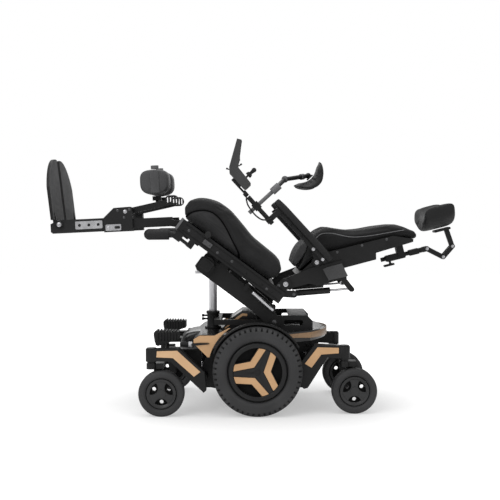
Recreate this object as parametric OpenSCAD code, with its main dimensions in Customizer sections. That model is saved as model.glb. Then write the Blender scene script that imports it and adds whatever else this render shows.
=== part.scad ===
// Powered standing wheelchair, posed with the seat tilted, the back reclined and the legs raised.
// Origin on the floor under the drive axle. +X is forwards, +Y is the chair's left, +Z is up.

/* [Drive wheels] */
// Outer diameter of a drive tyre
drive_d = 356; // [336:1:372]
// Width of a drive tyre
drive_w = 76; // [66:1:80]
// Distance between the middle planes of the drive tyres
drive_track = 574; // [566:1:600]
// Diameter of the tyre's bead seat on the rim
bead_d = 236; // [226:1:246]
// Diameter of the opening inside the rim
rim_open_d = 194; // [180:1:200]
// Radius of the motor's output shaft
shaft_r = 12.5; // [10:0.5:16]
// Number of tread notches round each shoulder
tread_count = 48; // [24:1:60]

/* [Casters] */
// Outer diameter of a caster
caster_d = 182; // [174:1:186]
// Width of a caster tyre
caster_w = 60; // [50:1:64]
// Distance of a caster's axle behind its stem
caster_trail = 40; // [30:1:46]
// Radius of a caster's stem
stem_r = 11; // [9:0.5:13]
// Place of the front stems ahead of the drive axle
front_stem_x = 421; // [415:1:435]
// Distance between the front stems
front_track = 568; // [560:1:590]
// Place of the rear stems behind the drive axle
rear_stem_x = 350; // [346:1:365]
// Distance between the rear stems
rear_track = 454; // [446:1:462]

/* [Base] */
// Height of the chassis floor above the ground
ground_clearance = 86; // [80:1:95]
// Width of the chassis tub outside
tub_w = 276; // [272:1:280]
// Height of the chassis tub's side walls
tub_h = 170; // [150:1:185]
// Thickness of the chassis plates
tub_t = 6; // [4:0.5:8]
// Height of the shroud's roof above the ground
shroud_z = 318; // [314:1:324]
// Width of the shroud
shroud_w = 486; // [482:1:486]
// Thickness of the shroud's wall
shroud_t = 4; // [3:0.5:5]
// Radius of the holes in the tie-down eyes
eye_r = 11; // [9:0.5:13]
// Thickness of the tie-down eyes
eye_t = 10; // [8:1:14]

/* [Seat lift] */
// Tilt of the seat above level
tilt = 36.3; // [30:0.1:39]
// Distance of the lift arm's pivot behind the drive axle
lift_back = 69; // [64:1:74]
// Height of the lift arm's pivot
lift_z = 361; // [358:1:368]
// Length of the lift arm from its pivot to the seat's hinge
lift_len = 362; // [356:1:372]
// Thickness of the lift arm's plates
lift_t = 10; // [8:0.5:11]
// Outer radius of the lift column's inner tube
column_r = 17; // [15:0.5:19]
// Place of the lift column ahead of the drive axle
column_x = 188; // [187:1:192]
// Height of the column's outer tube
column_z = 391; // [384:1:391]

/* [Seat] */
// Length of the seat rails
rail_len = 509; // [500:1:524]
// Height of a seat rail
rail_h = 50; // [46:1:54]
// Width of a seat rail
rail_w = 22; // [18:1:26]
// Distance between the outer faces of the seat rails
seat_w = 492; // [488:1:500]
// Length of the seat cushion
cushion_len = 480; // [470:1:486]
// Thickness of the seat cushion over the thighs
cushion_t = 136; // [124:1:146]

/* [Legs] */
// Slope of the leg bars below level
leg_drop = 2.7; // [0:0.1:6]
// Length of the leg bars
leg_len = 330; // [320:1:340]
// Height of a leg bar
leg_bar_h = 38; // [34:1:42]
// Distance between the middle planes of the leg bars
leg_track = 340; // [330:1:344]
// Distance of the footplates' back face from the knee hinge
foot_x = 511; // [507:1:517]
// Length of a footplate
foot_len = 256; // [240:1:262]
// Width of a footplate
foot_w = 208; // [196:1:212]

/* [Back] */
// Recline of the back behind a square to the seat
recline = 39.7; // [34:0.1:44]
// Height of the back cushion above the recline hinge
back_len = 570; // [560:1:574]
// Width of the back
back_w = 404; // [396:1:404]
// Radius of the recline hinge pins
recline_pin_r = 9; // [7:0.5:11]

/* [Arms and controls] */
// Length of an armrest pad
armrest_len = 322; // [310:1:330]
// Width of an armrest pad
armrest_w = 60; // [54:1:66]
// Distance between the armrests' middle planes
armrest_track = 540; // [536:1:552]
// Height of the joystick's display panel
display_len = 118; // [108:1:126]

/* [Hidden] */
$fn = 64;

// Running clearance of a pin in its bore, on the radius
run_gap = 0.06;
// Gap between neighbours that move past each other
side_gap = 2;
// Gap that soft parts keep from what carries them
soft_gap = 0.3;

// Finishes
black_paint = [0.05, 0.05, 0.055];
dark_plastic = [0.09, 0.09, 0.1];
grey_plastic = [0.3, 0.3, 0.32];
tyre_grey = [0.13, 0.13, 0.135];
bronze = [0.72, 0.5, 0.3];
silver = [0.75, 0.76, 0.78];
soft_black = [0.06, 0.06, 0.065];

// Drive wheel stations
axle_z = drive_d / 2;
wheel_y = drive_track / 2;
tyre_in_y = wheel_y - drive_w / 2;

// Chassis stations
tub_y = tub_w / 2;
tub_front = 228;
tub_back = -192;
tub_top = ground_clearance + tub_h;
front_pivot = [222, 145];
rear_pivot = [-186, 150];
pivot_r = 10;
arm_hub_r = 22;

// Caster arm stations, measured from the middle of the chair outwards
front_arm_in = front_track / 2 - 22;
front_arm_out = front_track / 2 + 22;
rear_arm_in = rear_track / 2 - 22;
rear_arm_out = rear_track / 2 + 18;
caster_rim_d = 122;
stem_top_z = 268;
stem_low_z = 218;
stem_house_r = stem_r + 12;
crown_z = 188;
crown_t = 22;

// Lift stations
tower_in = tub_y;
tower_out = tub_y + 10;
arm_in = tower_out + side_gap;
arm_out = arm_in + lift_t;
lift_pin_r = 10;
stand_pin_r = 12;
stand_v = 26;
push_tube = [300, 56];
push_r = 14;
column_wall = 8;
column_gap = 0.08;

// Seat stations in the lift arm's frame: along the seat, then square to it
seat_u = 37;
seat_v = 99.4;
rail_out = seat_w / 2;
rail_in = rail_out - rail_w;
pan_t = 6;
pan_v = rail_h / 2 - pan_t;
knee_u = rail_len - 9;
knee_pin_r = 9;
stand_u = lift_len - seat_u;
ear_t = 10;

// Back stations in the seat's frame
recline_u = 21;
recline_v = 55;
back_y = back_w / 2;
bracket_out = rail_in;
bracket_in = rail_in - 10;

// Leg stations in the leg's frame
leg_z = 15;
leg_bar_w = 24;
leg_y = leg_track / 2;
bar_start = 40;
carriage_x = 200;
carriage_end = 534;
bar_gap = 0.4;
foot_hinge = [496, 24];
foot_pin_r = 7;
foot_t = 12;
foot_z = 44;
foot_lean = 4.1;
knee_hinge = [228, 64];
knee_hinge_r = 8;
knee_pad_z = 180;

// Armrest stations in the back's frame
arm_hinge = [58, 140];
arm_slope = 28.5;
arm_hinge_r = 8;
armrest_y = armrest_track / 2;

// Controls in the armrest's frame
mount_x = 326;
mount_n = -26;
mount_r = 9;
pod_x = 392;
post_top = 92;
chest_x = 244;
chest_n = 228;
chest_elbow = [330, 130, 137];

// Headrest stations in the back's frame, all carried at the top of the back
head_joint_a = [-15, back_len + 55];
head_joint_b = [-66, back_len + 114];
head_joint_c = [-31, back_len + 163];
head_pad_z = back_len + 121;
carrier_low = back_len - 73;
carrier_top = back_len - 44;
head_pin_r = 5;

// Lamp stations
lamp_hinge = [365, 286];
lamp_y = 200;
lamp_pin_r = 4;

// Top of the lift column's saddle
saddle_z = 562;

// Recline strut stations
strut_y = 168;
strut_top = [-86, 255];
strut_foot = [-30, 42];
strut_bore = 10.6;
strut_arm = strut_foot - [recline_u, recline_v];
strut_from = [
  strut_arm[0] * cos(recline) + strut_arm[1] * sin(recline),
  strut_arm[1] * cos(recline) - strut_arm[0] * sin(recline)
];
strut_lean = atan2(strut_top[0] - strut_from[0], strut_top[1] - strut_from[1]);

// Half of the headrest's width
head_half = 132;

// Centre of the joystick's gimbal in the armrest's frame
stick_x = 438;
stick_n = 6;

// Shared placing and shaping modules

module both_sides() {
  children();
  mirror([0, 1, 0]) children();
}

// Extrudes an outline drawn in X and Z from y0 to y1
module plate(y0, y1) {
  translate([0, y1, 0]) rotate([90, 0, 0]) linear_extrude(y1 - y0) children();
}

// Cylinder along Y at a place in X and Z
module rod_y(p, y0, y1, r) {
  translate([p[0], y1, p[1]]) rotate([90, 0, 0]) cylinder(h = y1 - y0, r = r);
}

// Round bar between two points
module bar(p, q, r) {
  v = q - p;
  translate(p) rotate([0, acos(v[2] / norm(v)), atan2(v[1], v[0])]) cylinder(h = norm(v), r = r);
}

// Outline of a link with round ends of one radius
module link2d(p, q, r) {
  d = (q - p) / norm(q - p);
  n = [-d[1], d[0]] * r;
  translate(p) circle(r);
  translate(q) circle(r);
  polygon([p + n, p - n, q - n, q + n]);
}

// Outline of a rectangle with round corners, centred
module round_rect(w, h, r) {
  square([w - 2 * r, h], center = true);
  square([w, h - 2 * r], center = true);
  for (sx = [-1, 1], sy = [-1, 1]) translate([sx * (w / 2 - r), sy * (h / 2 - r)]) circle(r);
}

module in_lift() {
  translate([-lift_back, 0, lift_z]) rotate([0, -tilt, 0]) children();
}

module in_seat() {
  in_lift() translate([seat_u, 0, seat_v]) children();
}

module in_leg() {
  in_seat() translate([knee_u, 0, 0]) rotate([0, tilt + leg_drop, 0]) children();
}

module in_back() {
  in_seat() translate([recline_u, 0, recline_v]) rotate([0, -recline, 0]) children();
}

module in_armrest() {
  in_back() translate([arm_hinge[0], 0, arm_hinge[1]]) rotate([0, arm_slope, 0]) children();
}

// Closed skin through rings of points that all have the same number of points
module loft(rings) {
  n = len(rings[0]);
  last = len(rings) - 1;
  polyhedron(
    points = [for (r = rings) each r],
    faces = concat(
      [for (i = [0:last - 1], j = [0:n - 1]) [i * n + j, (i + 1) * n + j, (i + 1) * n + (j + 1) % n]],
      [for (i = [0:last - 1], j = [0:n - 1]) [i * n + j, (i + 1) * n + (j + 1) % n, i * n + (j + 1) % n]],
      [for (j = [1:n - 2]) [0, j, j + 1]],
      [for (j = [1:n - 2]) [last * n, last * n + j + 1, last * n + j]]
    )
  );
}

// Point of a rounded square at angle a, where p sets how square it is
function squarish(a, p) = [
  sign(cos(a)) * pow(abs(cos(a)), 2 / p),
  sign(sin(a)) * pow(abs(sin(a)), 2 / p)
];

// Ring square to X at x, half as wide as half_w and from z0 to z1
function ring_x(x, half_w, z0, z1, p, n) = [
  for (j = [0:n - 1]) let (s = squarish(360 * j / n, p))
    [x, half_w * s[0], (z0 + z1) / 2 + (z1 - z0) / 2 * s[1]]
];

// Smoothed reading of a table of [place, value] pairs
function smooth(x, table, d) = (lookup(x - d, table) + 2 * lookup(x, table) + lookup(x + d, table)) / 4;

// How much of its full width or height a pad keeps at share t of its length
function pad_end(t, p) = pow(max(0, 1 - pow(abs(2 * t - 1), p)), 1 / p);

// Base

module chassis_frame() {
  color(black_paint) {
    difference() {
      translate([tub_back, -tub_y, ground_clearance]) cube([tub_front - tub_back, tub_w, tub_h]);
      translate([tub_back + tub_t, -tub_y + tub_t, ground_clearance + tub_t])
        cube([tub_front - tub_back - 2 * tub_t, tub_w - 2 * tub_t, tub_h]);
    }
    both_sides() {
      rod_y(front_pivot, tub_y - 1, front_arm_in - 48, arm_hub_r);
      rod_y(front_pivot, tub_y - 1, front_arm_out - 14, pivot_r);
      rod_y(rear_pivot, tub_y - 1, rear_arm_in - side_gap, arm_hub_r);
      rod_y(rear_pivot, tub_y - 1, rear_arm_out - 4, pivot_r);
      plate(tub_y - 1, tub_y + 40)
        polygon([[150, ground_clearance], [222, 100], [236, 160], [190, tub_top], [150, tub_top]]);
      translate([150, tub_y - 1, tub_top - 5]) cube([lamp_hinge[0] - 138, lamp_y - tub_y + 12, 5]);
      difference() {
        union() {
          translate([lamp_hinge[0], lamp_y, tub_top - 1]) cylinder(h = lamp_hinge[1] - tub_top, r = 7);
          rod_y(lamp_hinge, lamp_y - 8, lamp_y + 8, 9);
        }
        rod_y(lamp_hinge, lamp_y - 9, lamp_y + 9, lamp_pin_r + run_gap);
      }
    }
  }
}

// Outline of the shroud seen from above, drawn in by d
module shroud_plan(d) {
  hw = shroud_w / 2 - d;
  translate([-60, -hw]) square([316 - d, 2 * hw]);
  polygon([[-60, -hw], [-60, hw], [-215, hw - 40], [-215, -hw + 40]]);
  intersection() {
    translate([6, 0]) circle(300 - d);
    translate([-400, -hw + 40]) square([185, 2 * hw - 80]);
  }
}

module shroud_roof(d) {
  polygon([
    [300, 150], [300, shroud_z - 60], [256 - d, shroud_z - 18 - d], [232, shroud_z - d], [110, shroud_z - d],
    [-140, shroud_z + 6 - d], [-240, shroud_z + 14 - d], [-330, shroud_z - d], [-330, 150]
  ]);
}

module shroud_skirt() {
  polygon([[300, 262], [-120, 262], [-140, shroud_z - 34], [-340, shroud_z - 20], [-340, 500], [300, 500]]);
}

module shroud_body(d) {
  intersection() {
    linear_extrude(500) shroud_plan(d);
    plate(-300, 300) shroud_roof(d);
  }
}

module base_shroud() {
  color(dark_plastic) {
    difference() {
      union() {
        intersection() {
          shroud_body(0);
          plate(-300, 300) shroud_skirt();
        }
        plate(-82, 82)
          polygon([[-24, shroud_z], [14, 384], [40, 398], [62, 400], [107, 369], [152, shroud_z]]);
      }
      shroud_body(shroud_t);
      plate(-77, 77)
        polygon([[-16, shroud_z - 9], [18, 380], [42, 393], [59, 395], [103, 365], [144, shroud_z - 9]]);
      translate([column_x, 0, 200]) cylinder(h = 200, r = column_r + column_wall + 1.5);
      both_sides() translate([-232, tower_in - 1.5, 200]) cube([216, tower_out - tower_in + 3, 200]);
    }
  }
}

module shroud_trim() {
  hw = shroud_w / 2;
  color(bronze) {
    both_sides() {
      plate(hw, hw + 6) difference() {
        polygon([
          [256, shroud_z - 18], [256, shroud_z - 34], [200, 228], [150, 228], [98, axle_z + 167],
          [116, axle_z + 167], [172, shroud_z - 3], [232, shroud_z - 3]
        ]);
        translate([0, axle_z]) circle(drive_d / 2 + 21);
      }
      plate(82, 85) polygon([
        [40, 386], [62, 388], [100, 361], [138, shroud_z + 8], [132, shroud_z + 6], [98, 350],
        [60, 378], [42, 376]
      ]);
    }
    intersection() {
      difference() {
        linear_extrude(500) shroud_plan(-3);
        linear_extrude(500) shroud_plan(0);
      }
      plate(-300, 300)
        polygon([[-122, shroud_z - 14], [-122, shroud_z - 1], [-340, shroud_z + 15], [-340, shroud_z - 20]]);
    }
  }
}

module wheel_fenders() {
  hw = shroud_w / 2;
  color(black_paint) both_sides() translate([0, 0, axle_z]) rotate([90, 0, 0]) rotate([0, 0, 22])
    rotate_extrude(angle = 128) {
      translate([drive_d / 2 + 8, -hw - 54]) square([5, 54]);
      translate([drive_d / 2 - 38, -hw - 3]) square([50, 3]);
    }
}

module battery_pack() {
  color(grey_plastic) for (x = [tub_back + tub_t + 2, tub_back + tub_t + 172]) {
    translate([x, -tub_y + tub_t + 4, ground_clearance + tub_t]) cube([167, tub_w - 2 * tub_t - 8, 196]);
    for (y = [-85, 85]) translate([x + 84, y, ground_clearance + tub_t + 195]) cylinder(h = 9, r = 8);
  }
}

module power_module() {
  color(grey_plastic) {
    translate([tub_front, -80, 190]) cube([22, 160, 60]);
    for (y = [-66:22:66]) translate([tub_front + 21, y - 3, 194]) cube([7, 6, 52]);
  }
}

module drive_motors() {
  color(black_paint) both_sides() {
    rod_y([0, axle_z], tub_y, tyre_in_y - 9, 58);
    rod_y([0, axle_z], tyre_in_y - 10, wheel_y + drive_w / 2 - 8, shaft_r);
    rod_y([0, axle_z], tyre_in_y - 10, tyre_in_y - 3, shaft_r + 8);
    translate([-146, tub_y + 48, axle_z - 14]) rotate([0, 90, 0]) cylinder(h = 150, r = 42);
    translate([40, tub_y + 30, axle_z + 10]) cube([40, 30, 24]);
    bar([60, tub_y + 50, axle_z + 26], [92, tub_y + 50, 246], 5);
  }
}

module seat_tower() {
  color(black_paint) {
    both_sides() {
      plate(tower_in, tower_out) difference() {
        union() {
          polygon([
            [-228, 236], [-228, lift_z + 2], [-206, lift_z + 25], [-120, lift_z + 25],
            [-lift_back, lift_z + 24], [-lift_back + 24, lift_z], [-20, lift_z - 12], [-20, 236]
          ]);
          translate([-lift_back, lift_z]) circle(24);
        }
        translate([-149, lift_z - 5]) round_rect(78, 22, 8);
      }
      rod_y([-lift_back, lift_z], arm_out, arm_out + 7, lift_pin_r + 5);
    }
    rod_y([-lift_back, lift_z], -arm_out - 1, arm_out + 1, lift_pin_r);
    translate([-206, -tower_in - 1, lift_z + 17]) cube([76, 2 * tower_in + 2, 8]);
    rod_y([-215, lift_z - 10], -tower_in - 1, tower_in + 1, 8);
  }
}

module column_outer() {
  low = ground_clearance + tub_t;
  color(black_paint) difference() {
    union() {
      translate([column_x, 0, low]) cylinder(h = column_z - low, r = column_r + column_wall);
      translate([column_x, 0, shroud_z]) cylinder(h = 7, r = column_r + 18);
      translate([column_x, 0, column_z - 12]) cylinder(h = 12, r = column_r + column_wall + 4);
      for (z = [column_z - 34, column_z - 20]) {
        translate([column_x + 10, 0, z]) rotate([0, 90, 0]) cylinder(h = 34, r = 4);
        translate([column_x + 38, 0, z]) rotate([0, 90, 0]) cylinder(h = 10, r = 6);
      }
      translate([column_x - 38, -tower_in, lift_z - 16]) cube([28, 2 * tower_in, 22]);
      both_sides() translate([-52, tower_in - 12, lift_z - 16]) cube([column_x + 26, 12, 22]);
    }
    translate([column_x, 0, low - 1]) cylinder(h = column_z, r = column_r + column_gap);
  }
}

module tie_down_eyes() {
  color(silver) both_sides() {
    difference() {
      plate(90, 90 + eye_t) {
        link2d([tub_back - 26, 206], [tub_back - eye_r - 10, 206], eye_r + 9);
        translate([tub_back - 20, 180]) square([20, 52]);
      }
      rod_y([tub_back - 26, 206], 89, 91 + eye_t, eye_r);
    }
    difference() {
      plate(100, 100 + eye_t) {
        link2d([tub_front + 26, 126], [tub_front + eye_r + 10, 126], eye_r + 9);
        translate([tub_front, 100]) square([20, 52]);
      }
      rod_y([tub_front + 26, 126], 99, 101 + eye_t, eye_r);
    }
  }
}

// Drive wheels, drawn round the origin with the outer face towards +Y

module tyre_body(d, bead, w, r) {
  rotate([90, 0, 0]) rotate_extrude() translate([(d + bead) / 4, 0]) round_rect((d - bead) / 2, w, r);
}

module drive_tyre() {
  color(tyre_grey) difference() {
    tyre_body(drive_d, bead_d, drive_w, 22);
    for (i = [0:tread_count - 1], s = [-1, 1]) rotate([0, (i + s / 4) * 360 / tread_count, 0])
      translate([drive_d / 2 - 16, s * drive_w / 2 - 15, -4]) cube([20, 30, 8]);
  }
}

// Directions of the three pockets between the hub's arms
pocket_dirs = [116, 236, -4];

// Wedge beyond a corner that lies at radius r
module hub_wedge(r, spread) {
  for (a = pocket_dirs) rotate(a) translate([r, 0])
    polygon([[0, 0], 130 * [cos(spread), -sin(spread)], [130, 0], 130 * [cos(spread), sin(spread)]]);
}

module hub_face(y0, y1) {
  rotate([0, 180, 0]) plate(y0, y1) children();
}

module drive_hub() {
  half = drive_w / 2;
  open_r = rim_open_d / 2;
  color(black_paint) difference() {
    union() {
      rotate([90, 0, 0]) rotate_extrude() polygon([
        [open_r, -half + 6], [bead_d / 2 - 6, -half + 4], [bead_d / 2 - 0.2, -half + 10],
        [bead_d / 2 - 0.2, half - 8], [bead_d / 2 - 4, half - 3], [bead_d / 2 - 9, half - 3],
        [bead_d / 2 - 10, half - 6], [open_r + 3, half - 5], [open_r, half - 9]
      ]);
      rod_y([0, 0], -half + 20, half - 30, open_r + 1);
      rod_y([0, 0], -half + 4, half - 13, 30);
      hub_face(half - 31, half - 12) difference() {
        circle(open_r + 1);
        hub_wedge(54, 67);
      }
      hub_face(half - 13, half - 8) difference() {
        circle(open_r - 1);
        hub_wedge(22, 67);
      }
    }
    rod_y([0, 0], -half, half, shaft_r + run_gap);
  }
  color(bronze) hub_face(half - 11.9, half - 7.5) intersection() {
    difference() {
      hub_wedge(24, 67);
      hub_wedge(52, 67);
    }
    circle(open_r - 1.5);
  }
}

module drive_tyre_left() {
  translate([0, wheel_y, axle_z]) drive_tyre();
}

module drive_hub_left() {
  translate([0, wheel_y, axle_z]) drive_hub();
}

module drive_tyre_right() {
  mirror([0, 1, 0]) drive_tyre_left();
}

module drive_hub_right() {
  mirror([0, 1, 0]) drive_hub_left();
}

// Caster arms

module caster_arm_front_left() {
  color(black_paint) difference() {
    union() {
      plate(front_arm_in, front_arm_out) {
        polygon([
          [front_stem_x, stem_low_z + 2], [front_stem_x, stem_top_z], [312, 271], [210, 178],
          [203, 104], [213, 96], [346, 221]
        ]);
      }
      rod_y(front_pivot, front_arm_in - 46, front_arm_in + 1, arm_hub_r);
      translate([front_stem_x, front_track / 2, stem_low_z])
        cylinder(h = stem_top_z - stem_low_z, r = stem_house_r);
      translate([front_stem_x, front_track / 2, stem_top_z - 1]) cylinder(h = 5, r = stem_house_r - 4);
    }
    rod_y(front_pivot, front_arm_in - 50, front_arm_out - 12, pivot_r + run_gap);
    translate([front_stem_x, front_track / 2, stem_low_z - 1])
      cylinder(h = stem_top_z - stem_low_z - 5, r = stem_r + run_gap);
  }
  color(bronze) plate(front_arm_out + 0.05, front_arm_out + 2.5)
    polygon([
      [front_stem_x - 24, 261], [317, 263], [226, 179], [251, 160], [334, 234], [front_stem_x - 22, 237]
    ]);
}

module caster_arm_front_right() {
  mirror([0, 1, 0]) caster_arm_front_left();
}

module caster_arm_rear_left() {
  x = -rear_stem_x;
  color(black_paint) difference() {
    union() {
      plate(rear_arm_in, rear_arm_out) {
        polygon([
          [x, stem_low_z + 4], [x, stem_top_z + 4], [-300, 277], [-230, 279], [-166, 196],
          [-158, 128], [-186, 100], [-202, 104], [-226, 141], [-280, 226]
        ]);
      }
      translate([x, rear_track / 2, stem_low_z]) cylinder(h = stem_top_z - stem_low_z + 2, r = stem_house_r);
      translate([x, rear_track / 2, stem_top_z + 1]) cylinder(h = 6, r = stem_house_r - 4);
    }
    rod_y(rear_pivot, rear_arm_in - 1, rear_arm_out - 2, pivot_r + run_gap);
    translate([x, rear_track / 2, stem_low_z - 1])
      cylinder(h = stem_top_z - stem_low_z - 5, r = stem_r + run_gap);
  }
  color(bronze) plate(rear_arm_out + 0.05, rear_arm_out + 2.5)
    polygon([[-241, 268], [x + 24, 266], [x + 24, 244], [-256, 239], [-217, 186], [-190, 202]]);
}

module caster_arm_rear_right() {
  mirror([0, 1, 0]) caster_arm_rear_left();
}

// Headlights

module headlight_left() {
  x = lamp_hinge[0];
  z = lamp_hinge[1];
  color(dark_plastic) {
    difference() {
      plate(lamp_y - 33, lamp_y + 33) translate([x, z])
        polygon([[-48, 12], [-48, 42], [-40, 46], [42, 47], [53, 38], [45, -10], [36, -15], [16, -9]]);
      translate([x - 14, lamp_y - 10, z - 16]) cube([28, 20, 30]);
      for (i = [0:6]) translate([x - 43 + 12 * i, lamp_y - 40, z + 41]) cube([6, 80, 20]);
      for (i = [0:6], t = [-1, 1]) translate([x - 43 + 12 * i, lamp_y + t * 36 - 7, z + 4]) cube([6, 14, 60]);
    }
    for (s = [-1, 1]) plate(lamp_y + s * 12.5 - 2.5, lamp_y + s * 12.5 + 2.5) link2d([x, z], [x, z + 14], 8);
    rod_y(lamp_hinge, lamp_y - 12, lamp_y + 12, lamp_pin_r);
  }
}

module headlight_right() {
  mirror([0, 1, 0]) headlight_left();
}

// Casters, drawn round the stem's axis with the fork's leg towards -Y

module caster_fork() {
  side = caster_w / 2;
  color(black_paint) {
    translate([0, 0, crown_z]) cylinder(h = stem_top_z - crown_z - 8, r = stem_r);
    translate([0, 0, crown_z + crown_t - 1]) cylinder(h = stem_low_z - crown_z - crown_t, r = stem_r + 6);
    translate([0, 0, crown_z]) cylinder(h = crown_t, r = 20);
    translate([-caster_trail - 8, -side - 14, crown_z]) cube([caster_trail + 16, side + 20, crown_t]);
    plate(-side - 14, -side - 3) {
      link2d([-caster_trail, caster_d / 2], [-caster_trail * 0.55, crown_z + 2], 15);
    }
    rod_y([-caster_trail, caster_d / 2], -side - 4, side - 10, 6);
  }
}

module caster_wheel() {
  half = caster_w / 2;
  rim = caster_rim_d / 2;
  color(tyre_grey) tyre_body(caster_d, caster_rim_d, caster_w, 13);
  color(black_paint) difference() {
    union() {
      rotate([90, 0, 0]) rotate_extrude() polygon([
        [46, -half + 12], [58, -half + 7], [rim - 0.2, -half + 14], [rim - 0.2, half - 14],
        [58, half - 6], [53, half - 6], [46, half - 12]
      ]);
      rod_y([0, 0], -6, 6, 47);
      rod_y([0, 0], -half + 1, half - 7, 17);
      hub_face(5, half - 10) difference() {
        circle(47);
        for (a = [90, 210, 330]) rotate(a) translate([46, 0]) circle(27);
      }
    }
    rod_y([0, 0], -half, half - 9, 6 + run_gap);
    for (a = [30, 150, 270]) rotate([0, -a, 0]) rod_y([34, 0], -half, half, 8);
  }
}

module place_front() {
  translate([front_stem_x, front_track / 2, 0]) children();
}

module place_rear() {
  translate([-rear_stem_x, rear_track / 2, 0]) children();
}

module caster_fork_front_left() {
  place_front() caster_fork();
}

module caster_fork_front_right() {
  mirror([0, 1, 0]) caster_fork_front_left();
}

module caster_fork_rear_left() {
  place_rear() caster_fork();
}

module caster_fork_rear_right() {
  mirror([0, 1, 0]) caster_fork_rear_left();
}

module caster_wheel_front_left() {
  place_front() translate([-caster_trail, 0, caster_d / 2]) caster_wheel();
}

module caster_wheel_front_right() {
  mirror([0, 1, 0]) caster_wheel_front_left();
}

module caster_wheel_rear_left() {
  place_rear() translate([-caster_trail, 0, caster_d / 2]) caster_wheel();
}

module caster_wheel_rear_right() {
  mirror([0, 1, 0]) caster_wheel_rear_left();
}

// Seat lift, drawn in the lift arm's frame

module lift_arm() {
  color(black_paint) in_lift() {
    both_sides() {
      difference() {
        plate(arm_in, arm_out) {
          circle(27);
          polygon([
            [0, -27], [100, -18], [lift_len + 20, -16], [lift_len + 36, -6], [lift_len + 36, 40],
            [lift_len + 20, 56], [push_tube[0] - 30, 56], [150, 48], [0, 27]
          ]);
          translate(push_tube) circle(push_r + 6);
        }
        rod_y([0, 0], arm_in - 1, arm_out + 1, lift_pin_r + run_gap);
      }
      rod_y([lift_len, stand_v], arm_in - side_gap - ear_t - 2, arm_out, stand_pin_r);
      rod_y([lift_len, stand_v], arm_out - 1, arm_out + 34, 34);
      translate([lift_len - 34, arm_out - 1, stand_v - 34]) cube([34, 26, 50]);
    }
    rod_y(push_tube, -arm_in - 1, arm_in + 1, push_r);
    rod_y([64, 24], -arm_in - 1, arm_in + 1, 12);
  }
}

module tilt_actuator() {
  y = arm_out + 14;
  color(silver) in_lift() both_sides() {
    bar([40, y, 46], [128, y, 52], 9);
    bar([128, y, 52], [176, y, 55], 5);
    for (u = [40, 176]) plate(arm_out, y + 6) link2d([u, 42], [u, 48 + u / 26], 9);
  }
}

module column_inner() {
  color(silver) {
    translate([column_x, 0, 258]) cylinder(h = saddle_z - 258 - 9, r = column_r);
    translate([column_x - 74, -30, saddle_z - 10]) cube([148, 60, 10]);
  }
}

// Seat

module seat_rails() {
  h = rail_h / 2;
  color(black_paint) in_seat() both_sides() {
    difference() {
      translate([0, rail_in, -h]) cube([rail_len - 6, rail_w, rail_h]);
      for (v = [-h + 8, h - 14]) translate([14, rail_out - 4, v]) cube([rail_len - 40, 6, 6]);
    }
    plate(bracket_in, bracket_out) {
      link2d([recline_u, recline_v], [recline_u + 14, 0], 22);
      link2d(strut_foot, [recline_u + 14, 0], 14);
    }
    rod_y([recline_u, recline_v], back_y - 2, bracket_in + 1, recline_pin_r);
    rod_y(strut_foot, strut_y - 12, bracket_in + 1, 6);
    rod_y([knee_u, 0], leg_y - leg_bar_w / 2 - 6, rail_in + 1, knee_pin_r);
  }
  color(grey_plastic) in_seat() both_sides()
    translate([rail_len - 5.8, rail_in + 2, -h - 1]) cube([10, rail_w - 1, rail_h + 2]);
}

module seat_pan() {
  color(black_paint) in_seat() {
    difference() {
      translate([58, -rail_in, pan_v]) cube([rail_len - 94, 2 * rail_in, pan_t]);
      for (u = [120:70:400], y = [-120:80:120]) translate([u, y, pan_v - 1]) cylinder(h = pan_t + 2, r = 18);
    }
    both_sides() difference() {
      plate(arm_in - side_gap - ear_t, arm_in - side_gap) {
        translate([stand_u, stand_v - seat_v]) circle(28);
        translate([stand_u - 28, stand_v - seat_v]) square([56, pan_v - stand_v + seat_v + 1]);
      }
      rod_y([stand_u, stand_v - seat_v], arm_in - side_gap - ear_t - 1, arm_in, stand_pin_r + run_gap);
    }
    both_sides() translate([80, rail_in - 26, pan_v - 14]) cube([rail_len - 150, 4, 15]);
  }
}

// Top of the seat cushion above the rails at share t of its length
cushion_top = [
  [0, 0.50], [0.04, 0.64], [0.1, 0.685], [0.2, 0.70], [0.37, 0.73], [0.53, 0.88], [0.68, 1], [0.8, 1],
  [0.9, 0.9], [0.97, 0.7], [1, 0.52]
];
cushion_low = [[0, 0.2], [0.03, 0.02], [0.1, 0], [0.9, 0], [0.96, 0.04], [1, 0.22]];

module seat_cushion() {
  u0 = 60;
  v0 = rail_h / 2 + soft_gap;
  stations = [
    0, 0.012, 0.035, 0.08, 0.14, 0.22, 0.3, 0.38, 0.46, 0.54, 0.61, 0.68, 0.75, 0.82, 0.88, 0.93,
    0.965, 0.988, 1
  ];
  color(soft_black) in_seat() loft([
    for (t = stations) ring_x(
      u0 + cushion_len * t,
      (rail_out - 16) * (0.93 + 0.07 * pad_end(t, 6)),
      v0 + cushion_t * smooth(t, cushion_low, 0.012),
      v0 + cushion_t * smooth(t, cushion_top, 0.03), 7, 28)
  ]);
}

module transfer_grips() {
  y = rail_out - 4;
  low = -rail_h / 2;
  color(black_paint) in_seat() both_sides() {
    translate([rail_len - 98, y - 14, low - 32]) cube([26, 16, 32]);
    bar([rail_len - 86, y, low - 24], [rail_len - 20, y, low - 22], 7);
    translate([rail_len - 42, y - 16, low - 36]) cube([32, 30, 36]);
    translate([rail_len - 11, y, low - 20]) rotate([0, tilt + 0.5, 0]) {
      translate([-8, 0, 0]) rotate([0, 90, 0]) cylinder(h = 36, r = 13);
      translate([24, 0, 0]) rotate([0, 90, 0]) cylinder(h = 78, r = 22);
      translate([102, 0, 0]) sphere(r = 22);
    }
  }
}

// Back, drawn upright in its own frame

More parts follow.
